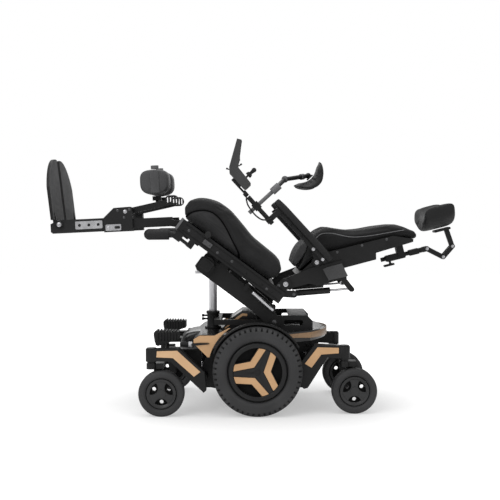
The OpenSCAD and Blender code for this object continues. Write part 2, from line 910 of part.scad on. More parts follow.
module back_shell() {
  color(black_paint) in_back() {
    difference() {
      plate(-back_y, back_y)
        polygon([
          [22, 52], [74, 150], [83.5, 200], [83.5, back_len - 101], [52, back_len - 24],
          [40, back_len - 28], [33, 386], [7, 380], [5, 250], [5, 150], [8, 60]
        ]);
      plate(-back_y + 6, back_y - 6) polygon([
        [100, 74], [100, back_len - 38], [46, back_len - 38], [38.5, 384], [12, 374], [10, 250],
        [10, 150], [13, 74]
      ]);
    }
    both_sides() {
      difference() {
        plate(back_y, back_y + 10) {
          circle(23);
          polygon([[-22, -6], [22, -6], [38, 120], [38, 246], [-38, 246], [-38, 128], [-22, 92]]);
          translate([strut_top[0], strut_top[1]]) circle(10);
          polygon([[-30, 240], [-24, 212], strut_top + [-8, -9], strut_top + [4, 9]]);
        }
        rod_y([0, 0], back_y - 1, back_y + 11, recline_pin_r + run_gap);
      }
      rod_y(strut_top, strut_y - 10, back_y + 1, 6);
      rod_y(arm_hinge, back_y - 1, armrest_y - 24, 17);
      rod_y(arm_hinge, armrest_y - 25, armrest_y - 4, arm_hinge_r);
    }
    translate([-38, -back_y - 1, 122]) cube([6, back_w + 2, 122]);
    translate([-38, -back_y - 1, 226]) cube([60, back_w + 2, 8]);
  }
  color(grey_plastic) in_back() both_sides() plate(back_y + 10.05, back_y + 14)
    polygon([[-28, 172], [22, 160], [26, 186], [26, 240], [-30, 252]]);
}

// Front and rear faces of the back cushion at share t of its height
back_front = [
  [0, 44], [0.03, 66], [0.08, 92], [0.135, 139], [0.19, 181], [0.26, 191], [0.36, 169], [0.48, 144],
  [0.6, 134], [0.72, 131], [0.88, 121], [0.93, 108], [0.97, 102], [0.99, 96], [1, 84]
];
back_rear = [[0, 36], [0.18, 80], [0.26, 83.8], [0.83, 83.8], [0.96, 52], [0.985, 46], [1, 52]];

module back_cushion() {
  z0 = 58;
  stations = [
    0, 0.015, 0.04, 0.08, 0.13, 0.18, 0.225, 0.27, 0.32, 0.38, 0.45, 0.52, 0.6, 0.68, 0.76, 0.84,
    0.9, 0.94, 0.97, 0.99, 1
  ];
  color(soft_black) in_back() rotate([0, -90, 0]) mirror([0, 0, 1]) loft([
    for (t = stations) ring_x(
      z0 + (back_len - z0) * t,
      (back_y + 4) * (0.9 + 0.1 * pad_end(t, 5)),
      smooth(t, back_rear, 0.012) + soft_gap,
      smooth(t, back_front, 0.03), 5, 28)
  ]);
}

module recline_strut() {
  color(black_paint) in_seat() both_sides() difference() {
    union() {
      rod_y(strut_foot, strut_y - 9, strut_y + 9, 12);
      in_strut() bar([0, strut_y, 10], [0, strut_y, 150], 13);
    }
    rod_y(strut_foot, strut_y - 20, strut_y + 20, 6 + run_gap);
    in_strut() bar([0, strut_y, 24], [0, strut_y, 160], strut_bore);
  }
}

module recline_rod() {
  color(silver) in_back() both_sides() difference() {
    union() {
      rod_y(strut_top, strut_y - 8, strut_y + 8, 11);
      translate([strut_top[0], strut_y, strut_top[1]]) rotate([0, strut_lean, 0])
        bar([0, 0, -8], [0, 0, -150], 4.5);
    }
    rod_y(strut_top, strut_y - 20, strut_y + 20, 6 + run_gap);
  }
}

module in_strut() {
  translate([strut_foot[0], 0, strut_foot[1]]) rotate([0, -recline + strut_lean, 0]) children();
}

// Headrest

// Rear face of the shell's upper half at height z
function shell_back(z) = 33 + 7 * (z - 386) / (back_len - 28 - 386);

module headrest_bracket() {
  color(black_paint) in_back() {
    plate(-24, 24) polygon([
      [-20, carrier_low], [-20, carrier_top], [shell_back(carrier_top), carrier_top],
      [shell_back(carrier_low), carrier_low]
    ]);
    plate(-20, 20) translate([-16, carrier_low - 11]) round_rect(26, 84, 5);
    bar([-15, 0, carrier_low - 73], [-15, 0, head_joint_a[1] - 14], 9);
    plate(-16, 16) translate([-15, back_len - 2]) round_rect(24, 44, 4);
    for (s = [-1, 1]) plate(s * 11 - 3, s * 11 + 3) link2d(head_joint_a, head_joint_a - [0, 16], 11);
    plate(-13, 13) translate(head_joint_a - [0, 24]) square([20, 14], center = true);
    rod_y(head_joint_a, -16, 16, head_pin_r);
    bar([-27, 0, carrier_low - 37], [-43, 0, carrier_low - 37], 5);
    plate(-10, 10) translate([-44, carrier_low - 44]) round_rect(9, 46, 4);
  }
}

module head_link(p, q) {
  difference() {
    union() {
      plate(-7, 7) link2d(p, q, 10);
      rod_y(q, -13, 13, head_pin_r);
    }
    rod_y(p, -8, 8, head_pin_r + run_gap);
  }
}

module headrest_link_lower() {
  color(silver) in_back() head_link(head_joint_a, head_joint_b);
}

module headrest_link_upper() {
  color(black_paint) in_back() {
    for (s = [-1, 1]) difference() {
      plate(s * 10.5 - 2.5, s * 10.5 + 2.5) link2d(head_joint_b, head_joint_c, 10);
      rod_y(head_joint_b, -16, 16, head_pin_r + run_gap);
    }
    d = (head_joint_c - head_joint_b) / norm(head_joint_c - head_joint_b);
    plate(-9, 9) translate(head_joint_b + 0.5 * (head_joint_c - head_joint_b)) circle(8);
    rod_y(head_joint_c, -12, 12, head_pin_r);
  }
}

// Wings of the headrest curve forwards away from its middle
function head_wing(y) = 46 * pow(abs(y) / head_half, 2);

module headrest_pad() {
  color(black_paint) in_back() {
    difference() {
      plate(-7, 7) link2d(head_joint_c, [44, head_joint_c[1] - 7], 10);
      rod_y(head_joint_c, -8, 8, head_pin_r + run_gap);
    }
    plate(-24, 24) translate([48, head_pad_z + 15]) round_rect(10, 70, 4);
  }
  color(soft_black) in_back() loft([
    for (i = [0:20]) let (y = -head_half + 2 * head_half * i / 20, k = 0.6 + 0.4 * pad_end(i / 20, 4))
    [for (j = [0:23]) let (s = squarish(-15 * j, 4.4))
      [88.6 + head_wing(y) + 35 * k * s[0], y, head_pad_z + 75 * k * s[1] + 8 * k * s[0]]]
  ]);
}

// Legs, drawn in the leg's frame

module legrest_bars() {
  h = leg_bar_h / 2;
  color(black_paint) in_leg() {
    both_sides() {
      difference() {
        plate(leg_y - leg_bar_w / 2, leg_y + leg_bar_w / 2) {
          translate([bar_start, leg_z - h]) square([leg_len - bar_start, leg_bar_h]);
          link2d([0, 0], [bar_start + 14, leg_z - 3], 14);
        }
        rod_y([0, 0], leg_y - leg_bar_w, leg_y + leg_bar_w, knee_pin_r + run_gap);
      }
    }
    rod_y([bar_start + 28, leg_z], -leg_y + 3, leg_y - 3, 11);
  }
}

module legrest_carriage() {
  h = leg_bar_h / 2;
  w = leg_bar_w / 2;
  color(black_paint) in_leg() {
    difference() {
      union() {
        both_sides() {
          plate(leg_y - w - 6, leg_y + w + 14) polygon([
            [carriage_x, leg_z - h - 12], [carriage_x, leg_z + 64], [carriage_x + 8, leg_z + 68],
            [carriage_x + 74, leg_z + 66], [carriage_x + 116, leg_z + 28], [carriage_x + 116, leg_z - h - 12]
          ]);
          plate(leg_y - w - 4, leg_y + w + 6)
            polygon([
              [carriage_x + 100, leg_z - 27], [carriage_x + 100, leg_z + 27], [carriage_end - 30, leg_z + 27],
              [carriage_end, leg_z + 12], [carriage_end, leg_z - 20], [carriage_end - 8, leg_z - 27]
            ]);
        }
        translate([carriage_x + 120, -leg_y + w, leg_z + 15]) cube([186, leg_track - 2 * w, 8]);
        rod_y([carriage_end - 30, leg_z], -leg_y, leg_y, 10);
      }
      both_sides() translate([carriage_x - 1, leg_y - w - bar_gap, leg_z - h - bar_gap])
        cube([262, leg_bar_w + 2 * bar_gap, leg_bar_h + 2 * bar_gap]);
      rod_y(knee_hinge, -leg_y - 60, leg_y + 60, knee_hinge_r + run_gap);
    }
    both_sides() rod_y(foot_hinge, leg_y + w + 5, leg_y + w + 22, foot_pin_r);
  }
  color(silver) in_leg() both_sides() plate(leg_y + w + 6.05, leg_y + w + 9) difference() {
    translate([carriage_x + 178, leg_z + 2]) round_rect(110, 32, 4);
    for (x = [140, 178, 216]) translate([carriage_x + x, leg_z + 2]) circle(6);
  }
}

module footplate_left() {
  y = leg_y + leg_bar_w / 2;
  color(black_paint) in_leg() difference() {
    union() {
      plate(y + 10, y + 21) {
        translate(foot_hinge) circle(13);
        polygon([
          foot_hinge - [6, 11], [foot_x + 8, 26], [foot_x + 14, 96], [foot_x + 5, 96], [foot_x - 6, 44],
          foot_hinge + [-6, 11]
        ]);
      }
      translate([foot_x, 0, foot_z]) rotate([0, foot_lean, 0]) rotate([90, 0, 90]) linear_extrude(foot_t)
        intersection() {
          translate([22, 0]) square([foot_w, foot_len]);
          translate([46, foot_len - 200]) circle(200);
        }
    }
    rod_y(foot_hinge, y + 9, y + 30, foot_pin_r + run_gap);
  }
}

module footplate_right() {
  mirror([0, 1, 0]) footplate_left();
}

module knee_arm() {
  y = leg_y - leg_bar_w / 2 - 8;
  color(black_paint) in_leg() {
    rod_y(knee_hinge, -leg_y - 24, leg_y + 24, knee_hinge_r);
    both_sides() {
      plate(y - 12, y) difference() {
        union() {
          link2d(knee_hinge, [60, 94], 12);
          link2d([50, 103], [32, 103], 20);
        }
        for (x = [22:12:58]) translate([x, 103]) round_rect(5, 24, 2);
      }
      bar([106, y - 6, 86], [106, y - 52, 108], 4.4);
      translate([88, y - 60, 106]) cube([36, 14, knee_pad_z - 56 - soft_gap - 106]);
    }
    rod_y([106, 108], 44 - y, y - 44, 7);
  }
}

// Knee pads are short barrels, flat above and round below

module knee_pads() {
  color(soft_black) in_leg() both_sides() loft([
    for (i = [0:14]) let (t = i / 14, k = 0.72 + 0.28 * pad_end(t, 4))
    [for (j = [0:27]) let (s = squarish(-360 * j / 28, 3))
      [
        109 + 64 * k * s[0],
        36 + 130 * t,
        knee_pad_z + 56 * k * (s[1] > 0 ? pow(s[1], 0.8) : s[1] * (1 - 0.1 * abs(s[0])))
      ]]
  ]);
  color(grey_plastic) in_leg() both_sides() {
    translate([109, 101, knee_pad_z + 56.2]) cylinder(h = 14, r = 16);
  }
}

// Armrests, drawn in the armrest's frame

module armrest_rail() {
  color(black_paint) in_armrest() {
    difference() {
      plate(armrest_y - 22, armrest_y - 8) {
        circle(17);
        polygon([[-14, 0], [-10, 31], [66, 31], [66, 22], [14, 0]]);
      }
      rod_y([0, 0], armrest_y - 23, armrest_y - 7, arm_hinge_r + run_gap);
    }
    translate([-22, armrest_y - 14, 17]) cube([armrest_len - 34, 28, 15]);
  }
}

module armrest_rail_left() {
  armrest_rail();
  color(black_paint) in_armrest() {
    translate([240, armrest_y - 13, mount_n - 13]) cube([22, 26, 57]);
    bar([232, armrest_y, mount_n], [pod_x - 22, armrest_y, mount_n], mount_r);
    bar([mount_x, armrest_y, -66], [mount_x, armrest_y, post_top - 2], 8);
    translate([mount_x - 16, armrest_y - 16, mount_n - 14]) cube([32, 32, 28]);
    translate([pod_x - 34, armrest_y - 11, mount_n - 9]) cube([18, 22, 18]);
    translate([pod_x, armrest_y, mount_n - 9]) cylinder(h = 18, r = 6);
    translate([pod_x - 20, armrest_y - 6, mount_n - 9]) cube([18, 12, 5]);
  }
}

module armrest_rail_right() {
  mirror([0, 1, 0]) armrest_rail();
}

module armrest_pad() {
  color(soft_black) in_armrest() loft([
    for (i = [0:14]) let (t = i / 14, k = 0.45 + 0.55 * pad_end(t, 5))
    [
      for (p = ring_x(
        -31 + armrest_len * t, armrest_w / 2 * k, 32 + soft_gap + 4 * (1 - k), 61 - 6 * (1 - k), 4, 20
      )) p + [0, armrest_y, 0]
    ]
  ]);
}

module armrest_pad_left() {
  armrest_pad();
}

module armrest_pad_right() {
  mirror([0, 1, 0]) armrest_pad();
}

// Controls on the left armrest

module joystick_mount() {
  color(black_paint) in_armrest() {
    difference() {
      union() {
        translate([pod_x, armrest_y, mount_n - 3.9]) cylinder(h = 13, r = 13);
        translate([pod_x, armrest_y - 10, mount_n - 3.9]) cube([60, 20, 8]);
        translate([pod_x + 34, armrest_y - 14, mount_n - 3.9]) cube([44, 28, 12]);
      }
      translate([pod_x, armrest_y, mount_n - 20]) cylinder(h = 60, r = 6 + run_gap);
    }
  }
}

module joystick_pod() {
  n0 = mount_n + 8.1;
  color(dark_plastic) in_armrest() {
    difference() {
      plate(armrest_y - 34, armrest_y + 34) polygon([
        [pod_x + 10, n0 + 4], [pod_x + 18, n0], [pod_x + 100, n0], [pod_x + 120, n0 + 16],
        [pod_x + 122 + 0.5 * display_len, 96], [pod_x + 106 + 0.5 * display_len, 106], [pod_x + 106, 36],
        [pod_x + 96, 24], [pod_x + 16, 18], [pod_x + 10, 12]
      ]);
      translate([stick_x, armrest_y, -10]) cylinder(h = 60, r = 21);
      rod_y([stick_x, stick_n], armrest_y - 27, armrest_y + 27, 3 + run_gap);
    }
  }
}

module joystick_gimbal() {
  color(silver) in_armrest() difference() {
    union() {
      translate([stick_x, armrest_y, stick_n - 5]) cylinder(h = 10, r = 17);
      rod_y([stick_x, stick_n], armrest_y - 25, armrest_y + 25, 3);
    }
    translate([stick_x, armrest_y, stick_n - 6]) cylinder(h = 12, r = 11);
    translate([stick_x - 20, armrest_y, stick_n]) rotate([0, 90, 0]) cylinder(h = 40, r = 2.5 + run_gap);
  }
}

module joystick_knob() {
  color(dark_plastic) in_armrest() translate([stick_x, armrest_y, stick_n]) {
    sphere(r = 6);
    translate([-15, 0, 0]) rotate([0, 90, 0]) cylinder(h = 30, r = 2.5);
    cylinder(h = 44, r = 4);
    translate([0, 0, 24]) cylinder(h = 5, r1 = 12.5, r2 = 12);
    translate([0, 0, 28.9]) cylinder(h = 5, r1 = 13.5, r2 = 10.5);
    translate([0, 0, 33.8]) cylinder(h = 5, r1 = 12, r2 = 8);
    translate([0, 0, 38.7]) cylinder(h = 19, r1 = 6, r2 = 9);
    translate([0, 0, 57]) sphere(r = 9.4);
  }
}

module chest_arm() {
  color(silver) in_armrest() difference() {
    translate([mount_x, armrest_y, post_top - 34]) cylinder(h = 38, r = 15);
    translate([mount_x, armrest_y, post_top - 60]) cylinder(h = 60, r = 8 + run_gap);
  }
  color(black_paint) in_armrest() {
    bar([mount_x + 2, armrest_y - 12, post_top - 8], chest_elbow, 9);
    translate(chest_elbow) sphere(r = 14);
    bar(chest_elbow, [chest_x + 31, 0, chest_n], 9);
    translate([chest_x + 31, 0, chest_n]) sphere(r = 12.5);
    translate([chest_x + 18.2, 0, chest_n]) rotate([0, 90, 0]) cylinder(h = 6.5, r = 16);
  }
}

module chest_pad() {
  color(soft_black) in_armrest() loft([
    for (i = [0:16]) let (t = i / 16, k = 0.5 + 0.5 * pad_end(t, 4), y = -95 + 190 * t)
    [for (j = [0:19]) let (s = squarish(-18 * j, 3))
      [chest_x - 20 * pow(y / 95, 2) + 13 * k * s[0] + 45 * pow(k * s[1], 2), y, chest_n + 75 * k * s[1]]]
  ]);
}

module control_cable() {
  color(dark_plastic) in_armrest() {
    bar([250, armrest_y + 16, -12], [286, armrest_y + 18, -52], 3);
    bar([286, armrest_y + 18, -52], [350, armrest_y + 14, -50], 3);
    bar([350, armrest_y + 14, -50], [376, armrest_y + 4, -36], 3);
    for (p = [[286, armrest_y + 18, -52], [350, armrest_y + 14, -50]]) translate(p) sphere(r = 3.6);
  }
}

chassis_frame();
base_shroud();
shroud_trim();
wheel_fenders();
battery_pack();
power_module();
drive_motors();
seat_tower();
column_outer();
tie_down_eyes();
drive_tyre_left();
drive_hub_left();
drive_tyre_right();
drive_hub_right();
caster_arm_front_left();
caster_arm_front_right();
caster_arm_rear_left();
caster_arm_rear_right();
headlight_left();
headlight_right();
caster_fork_front_left();
caster_fork_front_right();
caster_fork_rear_left();
caster_fork_rear_right();
caster_wheel_front_left();
caster_wheel_front_right();
caster_wheel_rear_left();
caster_wheel_rear_right();
lift_arm();
tilt_actuator();
column_inner();
seat_rails();
seat_pan();
seat_cushion();
transfer_grips();
back_shell();
back_cushion();
headrest_bracket();
recline_strut();
recline_rod();
legrest_bars();
legrest_carriage();
footplate_left();
footplate_right();
knee_arm();
knee_pads();
armrest_rail_left();
armrest_pad_left();
armrest_rail_right();
armrest_pad_right();
joystick_mount();
joystick_pod();
joystick_gimbal();
joystick_knob();
chest_arm();
chest_pad();
headrest_link_lower();
headrest_link_upper();
headrest_pad();
control_cable();
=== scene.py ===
import math

import bpy
from mathutils import Matrix, Vector
from mathutils.bvhtree import BVHTree
from mathutils.kdtree import KDTree


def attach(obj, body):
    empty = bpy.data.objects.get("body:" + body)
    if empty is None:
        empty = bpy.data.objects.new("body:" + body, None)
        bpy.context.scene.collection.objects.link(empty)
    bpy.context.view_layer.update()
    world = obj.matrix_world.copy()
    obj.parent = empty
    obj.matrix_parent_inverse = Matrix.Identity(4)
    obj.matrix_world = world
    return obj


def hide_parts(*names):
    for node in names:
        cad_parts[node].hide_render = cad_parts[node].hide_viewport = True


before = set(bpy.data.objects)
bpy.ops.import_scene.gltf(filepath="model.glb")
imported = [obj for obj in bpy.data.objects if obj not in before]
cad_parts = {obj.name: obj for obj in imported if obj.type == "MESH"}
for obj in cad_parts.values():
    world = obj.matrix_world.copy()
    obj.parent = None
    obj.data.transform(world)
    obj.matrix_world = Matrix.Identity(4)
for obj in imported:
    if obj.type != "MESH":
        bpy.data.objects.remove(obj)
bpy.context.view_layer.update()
scene = bpy.context.scene
MM = 0.001


# Frames of the part's source, in millimetres: x is raised by an angle from +X in the XZ plane

def frame_at(x, z, deg=0.0):
    c, s = math.cos(math.radians(deg)), math.sin(math.radians(deg))
    return Matrix(((c, 0, -s, x), (0, 1, 0, 0), (s, 0, c, z), (0, 0, 0, 1)))


BASE = Matrix.Identity(4)
LIFT = frame_at(-69, 361, 36.3)
SEAT = LIFT @ frame_at(37, 99.4)
LEG = SEAT @ frame_at(500, 0, -39.0)
BACK = SEAT @ frame_at(21, 55, 39.7)
ARM = BACK @ frame_at(58, 140, -28.5)
MIRROR = Matrix.Diagonal((1, -1, 1, 1))

# Places of the source's solids that finishes and fittings share, in millimetres
AXLE_Z = 178
HUB_ARM_Y = 302
FRONT_CASTER_Y = 284
REAR_CASTER_Y = 227
RAIL_FACE = 246
SHELL_FACE = 202
RECLINE_FACE = 224
TOWER_FACE = 148
CARRIAGE_FACE = 196
ARMREST_Y = 270
ARMREST_FACE = 284
ARMREST_SCREWS = 24.5
POST_X = 326
LAMP_Y = 200


def at(m, p):
    return (m @ Vector(p)) * MM


# Camera, as the photograph was taken: from the chair's left, a little above the middle

lens = bpy.data.cameras.new("camera")
lens.lens = 64.08
lens.sensor_width = 36
camera = bpy.data.objects.new("camera", lens)
camera.location = (0.03, 3.8, 0.77)
camera.rotation_euler = (math.radians(90 - 1.8), 0, math.radians(180))
scene.collection.objects.link(camera)
scene.camera = camera
scene.view_settings.view_transform = "Standard"


# Materials

def node(t, kind, attrs=None, inputs=None):
    n = t.nodes.new("ShaderNode" + kind)
    for k, v in (attrs or {}).items():
        setattr(n, k, v)
    for k, v in (inputs or {}).items():
        if isinstance(v, bpy.types.NodeSocket):
            t.links.new(v, n.inputs[k])
        else:
            n.inputs[k].default_value = v
    return n


def graph(name, fixed):
    m = bpy.data.materials.new(name)
    m.use_nodes = True
    t = m.node_tree
    t.nodes.clear()
    out = node(t, "OutputMaterial")
    p = node(t, "BsdfPrincipled", None, fixed)
    t.links.new(p.outputs["BSDF"], out.inputs["Surface"])
    return m, t, p


def coords(t, stretch=(1, 1, 1)):
    c = node(t, "TexCoord")
    return node(t, "Mapping", None, {"Vector": c.outputs["Object"], "Scale": stretch}).outputs["Vector"]


def noise(t, v, scale, detail=3.0):
    return node(t, "TexNoise", None, {"Vector": v, "Scale": scale, "Detail": detail}).outputs["Fac"]


def tint(t, p, fac, dark, light, low=0.3, high=0.7):
    ramp = node(t, "ValToRGB", None, {"Fac": fac})
    for e, place, c in zip(ramp.color_ramp.elements, (low, high), (dark, light)):
        e.position = place
        e.color = (*c, 1)
    t.links.new(ramp.outputs["Color"], p.inputs["Base Color"])


def roughen(t, p, fac, rough, spread):
    r = node(t, "MapRange", None, {
        "Value": fac, "From Min": 0.3, "From Max": 0.7,
        "To Min": max(0.02, rough - spread), "To Max": rough + spread})
    t.links.new(r.outputs["Result"], p.inputs["Roughness"])


def raise_by(t, p, height, strength, depth, under=None):
    b = node(t, "Bump", None, {"Height": height, "Strength": strength, "Distance": depth})
    if under:
        t.links.new(under, b.inputs["Normal"])
    t.links.new(b.outputs["Normal"], p.inputs["Normal"])
    return b.outputs["Normal"]


def grey(v):
    return (v, v, v * 1.03)


def surface(name, dark, light, rough, spread=0.07, blotch=9.0, grain=900.0, bump=0.12, depth=0.0004,
            stretch=(1, 1, 1), **fixed):
    """Painted, moulded or metal surface: soft colour variation, smudges in the gloss and a fine grain."""
    m, t, p = graph(name, {k.replace("_", " "): v for k, v in fixed.items()})
    v = coords(t, stretch)
    tint(t, p, noise(t, v, blotch, 5.0), dark, light)
    roughen(t, p, noise(t, v, blotch * 4, 6.0), rough, spread)
    raise_by(t, p, noise(t, v, grain, 2.0), bump, depth)
    return m


def woven(name, dark, light, pitch, rough=0.8, bump=0.35, depth=0.0006, **fixed):
    """Woven or knitted cover: three sets of threads, so that it shows on any face, over a soft unevenness."""
    m, t, p = graph(name, {k.replace("_", " "): v for k, v in fixed.items()})
    v = coords(t)
    total = None
    for axis in "XYZ":
        w = node(t, "TexWave", {"bands_direction": axis}, {
            "Vector": v, "Scale": 0.31416 / pitch, "Distortion": 0.6, "Detail": 1.0}).outputs["Fac"]
        total = w if total is None else node(t, "Math", {"operation": "ADD"}, {0: total, 1: w}).outputs["Value"]
    soft = noise(t, v, 14.0, 5.0)
    both = node(t, "Math", {"operation": "MULTIPLY_ADD"}, {0: total, 1: 0.14, 2: soft}).outputs["Value"]
    tint(t, p, both, dark, light, 0.45, 0.95)
    roughen(t, p, soft, rough, 0.06)
    first = raise_by(t, p, noise(t, v, 60.0, 3.0), 0.12, 0.002)
    raise_by(t, p, total, bump, depth, first)
    return m


def grained(name, dark, light, rough, cell=0.0022, bump=0.3, depth=0.0005, **fixed):
    """Moulded skin with a leather grain."""
    m, t, p = graph(name, {k.replace("_", " "): v for k, v in fixed.items()})
    v = coords(t)
    tint(t, p, noise(t, v, 10.0, 5.0), dark, light)
    roughen(t, p, noise(t, v, 40.0, 4.0), rough, 0.07)
    cells = node(t, "TexVoronoi", {"feature": "DISTANCE_TO_EDGE"}, {"Vector": v, "Scale": 1 / cell})
    raise_by(t, p, cells.outputs["Distance"], bump, depth)
    return m


PAINT = surface("black_paint", grey(0.006), grey(0.011), 0.44, grain=1400, bump=0.16, depth=0.0004,
                Specular_IOR_Level=0.3)
MATT = surface("black_plastic", grey(0.008), grey(0.014), 0.58, grain=1100, bump=0.3, depth=0.0005,
               Specular_IOR_Level=0.3)
CASING = surface("casing_plastic", grey(0.03), grey(0.042), 0.5, grain=1100, bump=0.3, depth=0.0005)
SATIN = surface("wheel_black", grey(0.008), grey(0.014), 0.36, grain=900, bump=0.08, Specular_IOR_Level=0.35)
# Near-black for the floors of recesses in the wheels: painted shade of the recesses
RECESS_PAINTED_SHADE = surface("wheel_recess_painted_shade", grey(0.003), grey(0.006), 0.6, grain=900, bump=0.1, Specular_IOR_Level=0.12)
GLOSS = surface("cover_gloss", grey(0.012), grey(0.019), 0.2, 0.05, grain=500, bump=0.03,
                Specular_IOR_Level=0.4, Coat_Weight=0.25, Coat_Roughness=0.1)
BRONZE = surface("bronze_paint", (0.62, 0.37, 0.19), (0.74, 0.46, 0.245), 0.34, 0.05, grain=1800, bump=0.12,
                 depth=0.0003, Metallic=0.65, Coat_Weight=0.2, Coat_Roughness=0.2)
RUBBER = surface("tyre_rubber", grey(0.034), grey(0.050), 0.66, grain=700, bump=0.25, depth=0.0006,
                 Specular_IOR_Level=0.3)
# Lit copy of the bronze paint: painted light, for bronze that faces the key light at the front
BRONZE_PAINTED_LIT = surface("bronze_painted_lit", (0.74, 0.47, 0.26), (0.84, 0.55, 0.32), 0.34, 0.05, grain=1800, bump=0.12,
                       depth=0.0003, Metallic=0.6, Coat_Weight=0.2, Coat_Roughness=0.2)
# Shaded copy of the bronze paint: painted shade, for bronze at the rear, away from the key light
BRONZE_PAINTED_SHADE = surface("bronze_painted_shade", (0.26, 0.16, 0.09), (0.36, 0.225, 0.125), 0.36, 0.05, grain=1800, bump=0.12,
                      depth=0.0003, Metallic=0.4, Coat_Weight=0.2, Coat_Roughness=0.2)
HUB = surface("caster_hub", grey(0.02), grey(0.032), 0.38, grain=900, bump=0.08, Specular_IOR_Level=0.45)
SILVER = surface("silver_metal", grey(0.6), grey(0.72), 0.28, 0.08, grain=1500, bump=0.05, Metallic=1.0)
BRUSHED = surface("column_metal", grey(0.72), grey(0.82), 0.42, 0.07, grain=1600, bump=0.1, depth=0.0002,
                  stretch=(1, 1, 0.03), Metallic=0.7)
STEEL = surface("dark_steel", grey(0.10), grey(0.16), 0.4, 0.08, grain=1500, bump=0.05, Metallic=0.9)
GREY = surface("grey_plastic", grey(0.11), grey(0.15), 0.5, grain=1000, bump=0.2)
SMOKE = surface("smoke_plastic", grey(0.05), grey(0.07), 0.3, grain=700, bump=0.08)
GRIP = surface("grip_rubber", grey(0.012), grey(0.019), 0.62, grain=900, bump=0.35, depth=0.0007,
               Specular_IOR_Level=0.3)
MAT = grained("foot_mat", grey(0.04), grey(0.056), 0.75, 0.0035, 0.5, 0.0008, Specular_IOR_Level=0.3)
SKIN = grained("pad_skin", grey(0.010), grey(0.017), 0.55, Specular_IOR_Level=0.25)
# Lighter copy of the pad skin for the knee pads: painted light, for pads lit from the top
KNEE_SKIN_PAINTED_LIT = grained("knee_skin_painted_lit", grey(0.05), grey(0.068), 0.55, Specular_IOR_Level=0.3)
KNEE_BAND = woven("knee_band", grey(0.07), grey(0.1), 0.0016, Specular_IOR_Level=0.25)
FABRIC = woven("cover_fabric", grey(0.006), grey(0.014), 0.0016, Specular_IOR_Level=0.2, Sheen_Weight=0.1,
               Sheen_Roughness=0.45)
SEAT_FABRIC = woven("seat_fabric", grey(0.010), grey(0.022), 0.0016, Specular_IOR_Level=0.22, Sheen_Weight=0.1,
                    Sheen_Roughness=0.45)
SIDE_FABRIC = woven("side_fabric", grey(0.02), grey(0.038), 0.0021, bump=0.45, Specular_IOR_Level=0.25,
                    Sheen_Weight=0.1, Sheen_Roughness=0.45)
MESH = woven("mesh_fabric", grey(0.018), grey(0.06), 0.0034, bump=0.6, depth=0.0012)
# Near-black piping: painted shade of the seat's seam groove, laid over a real piping
PIPING_PAINTED_SEAM_SHADE = woven("piping", grey(0.0012), grey(0.0025), 0.0012, 0.7, Specular_IOR_Level=0.05)
PALE_PIPING = woven("pale_piping", grey(0.09), grey(0.15), 0.0012, 0.6)
PALE = surface("pale_plastic", grey(0.5), grey(0.58), 0.4, grain=800, bump=0.05)
GLASS = surface("display_glass", (0.012, 0.014, 0.018), (0.02, 0.022, 0.028), 0.1, 0.03, grain=300, bump=0.01,
                Coat_Weight=0.4, Coat_Roughness=0.03)
LENS = surface("lamp_lens", grey(0.5), grey(0.62), 0.12, 0.04, grain=260, bump=0.2, depth=0.001,
               Coat_Weight=0.5, Coat_Roughness=0.05)


# CAD nodes keep their shapes and take these finishes

def islands(o):
    """Faces of a node by separate solid, the largest solid first."""
    me, key = o.data, {}
    ids = [key.setdefault(tuple(round(c * 1e5) for c in v.co), len(key)) for v in me.vertices]
    up = list(range(len(key)))

    def root(i):
        while up[i] != i:
            up[i] = up[up[i]]
            i = up[i]
        return i

    for p in me.polygons:
        a = root(ids[p.vertices[0]])
        for v in p.vertices[1:]:
            b = root(ids[v])
            if a != b:
                up[b] = a
    found = {}
    for p in me.polygons:
        found.setdefault(root(ids[p.vertices[0]]), []).append(p.index)

    def size(faces):
        co = [me.vertices[v].co for f in faces for v in me.polygons[f].vertices]
        return sum(max(c[i] for c in co) - min(c[i] for c in co) for i in range(3))

    return sorted(found.values(), key=size, reverse=True)


def paint(name, mats, rule=None):
    """Gives a node its materials; rule(island, centre in mm, normal) picks one of them for a face."""
    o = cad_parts[name]
    o.data.materials.clear()
    for m in mats:
        o.data.materials.append(m)
    for i, faces in enumerate(islands(o) if rule else [range(len(o.data.polygons))]):
        for f in faces:
            p = o.data.polygons[f]
            p.material_index = rule(i, p.center / MM, p.normal) if rule else 0


def on_post(p):
    """True for places on the post of the controls, in the armrest's frame."""
    return math.hypot(p.x - POST_X, p.y - ARMREST_Y) < 13 and -62 < p.z < 94


def first_is_main(i, c, n):
    return 0 if i == 0 else 1


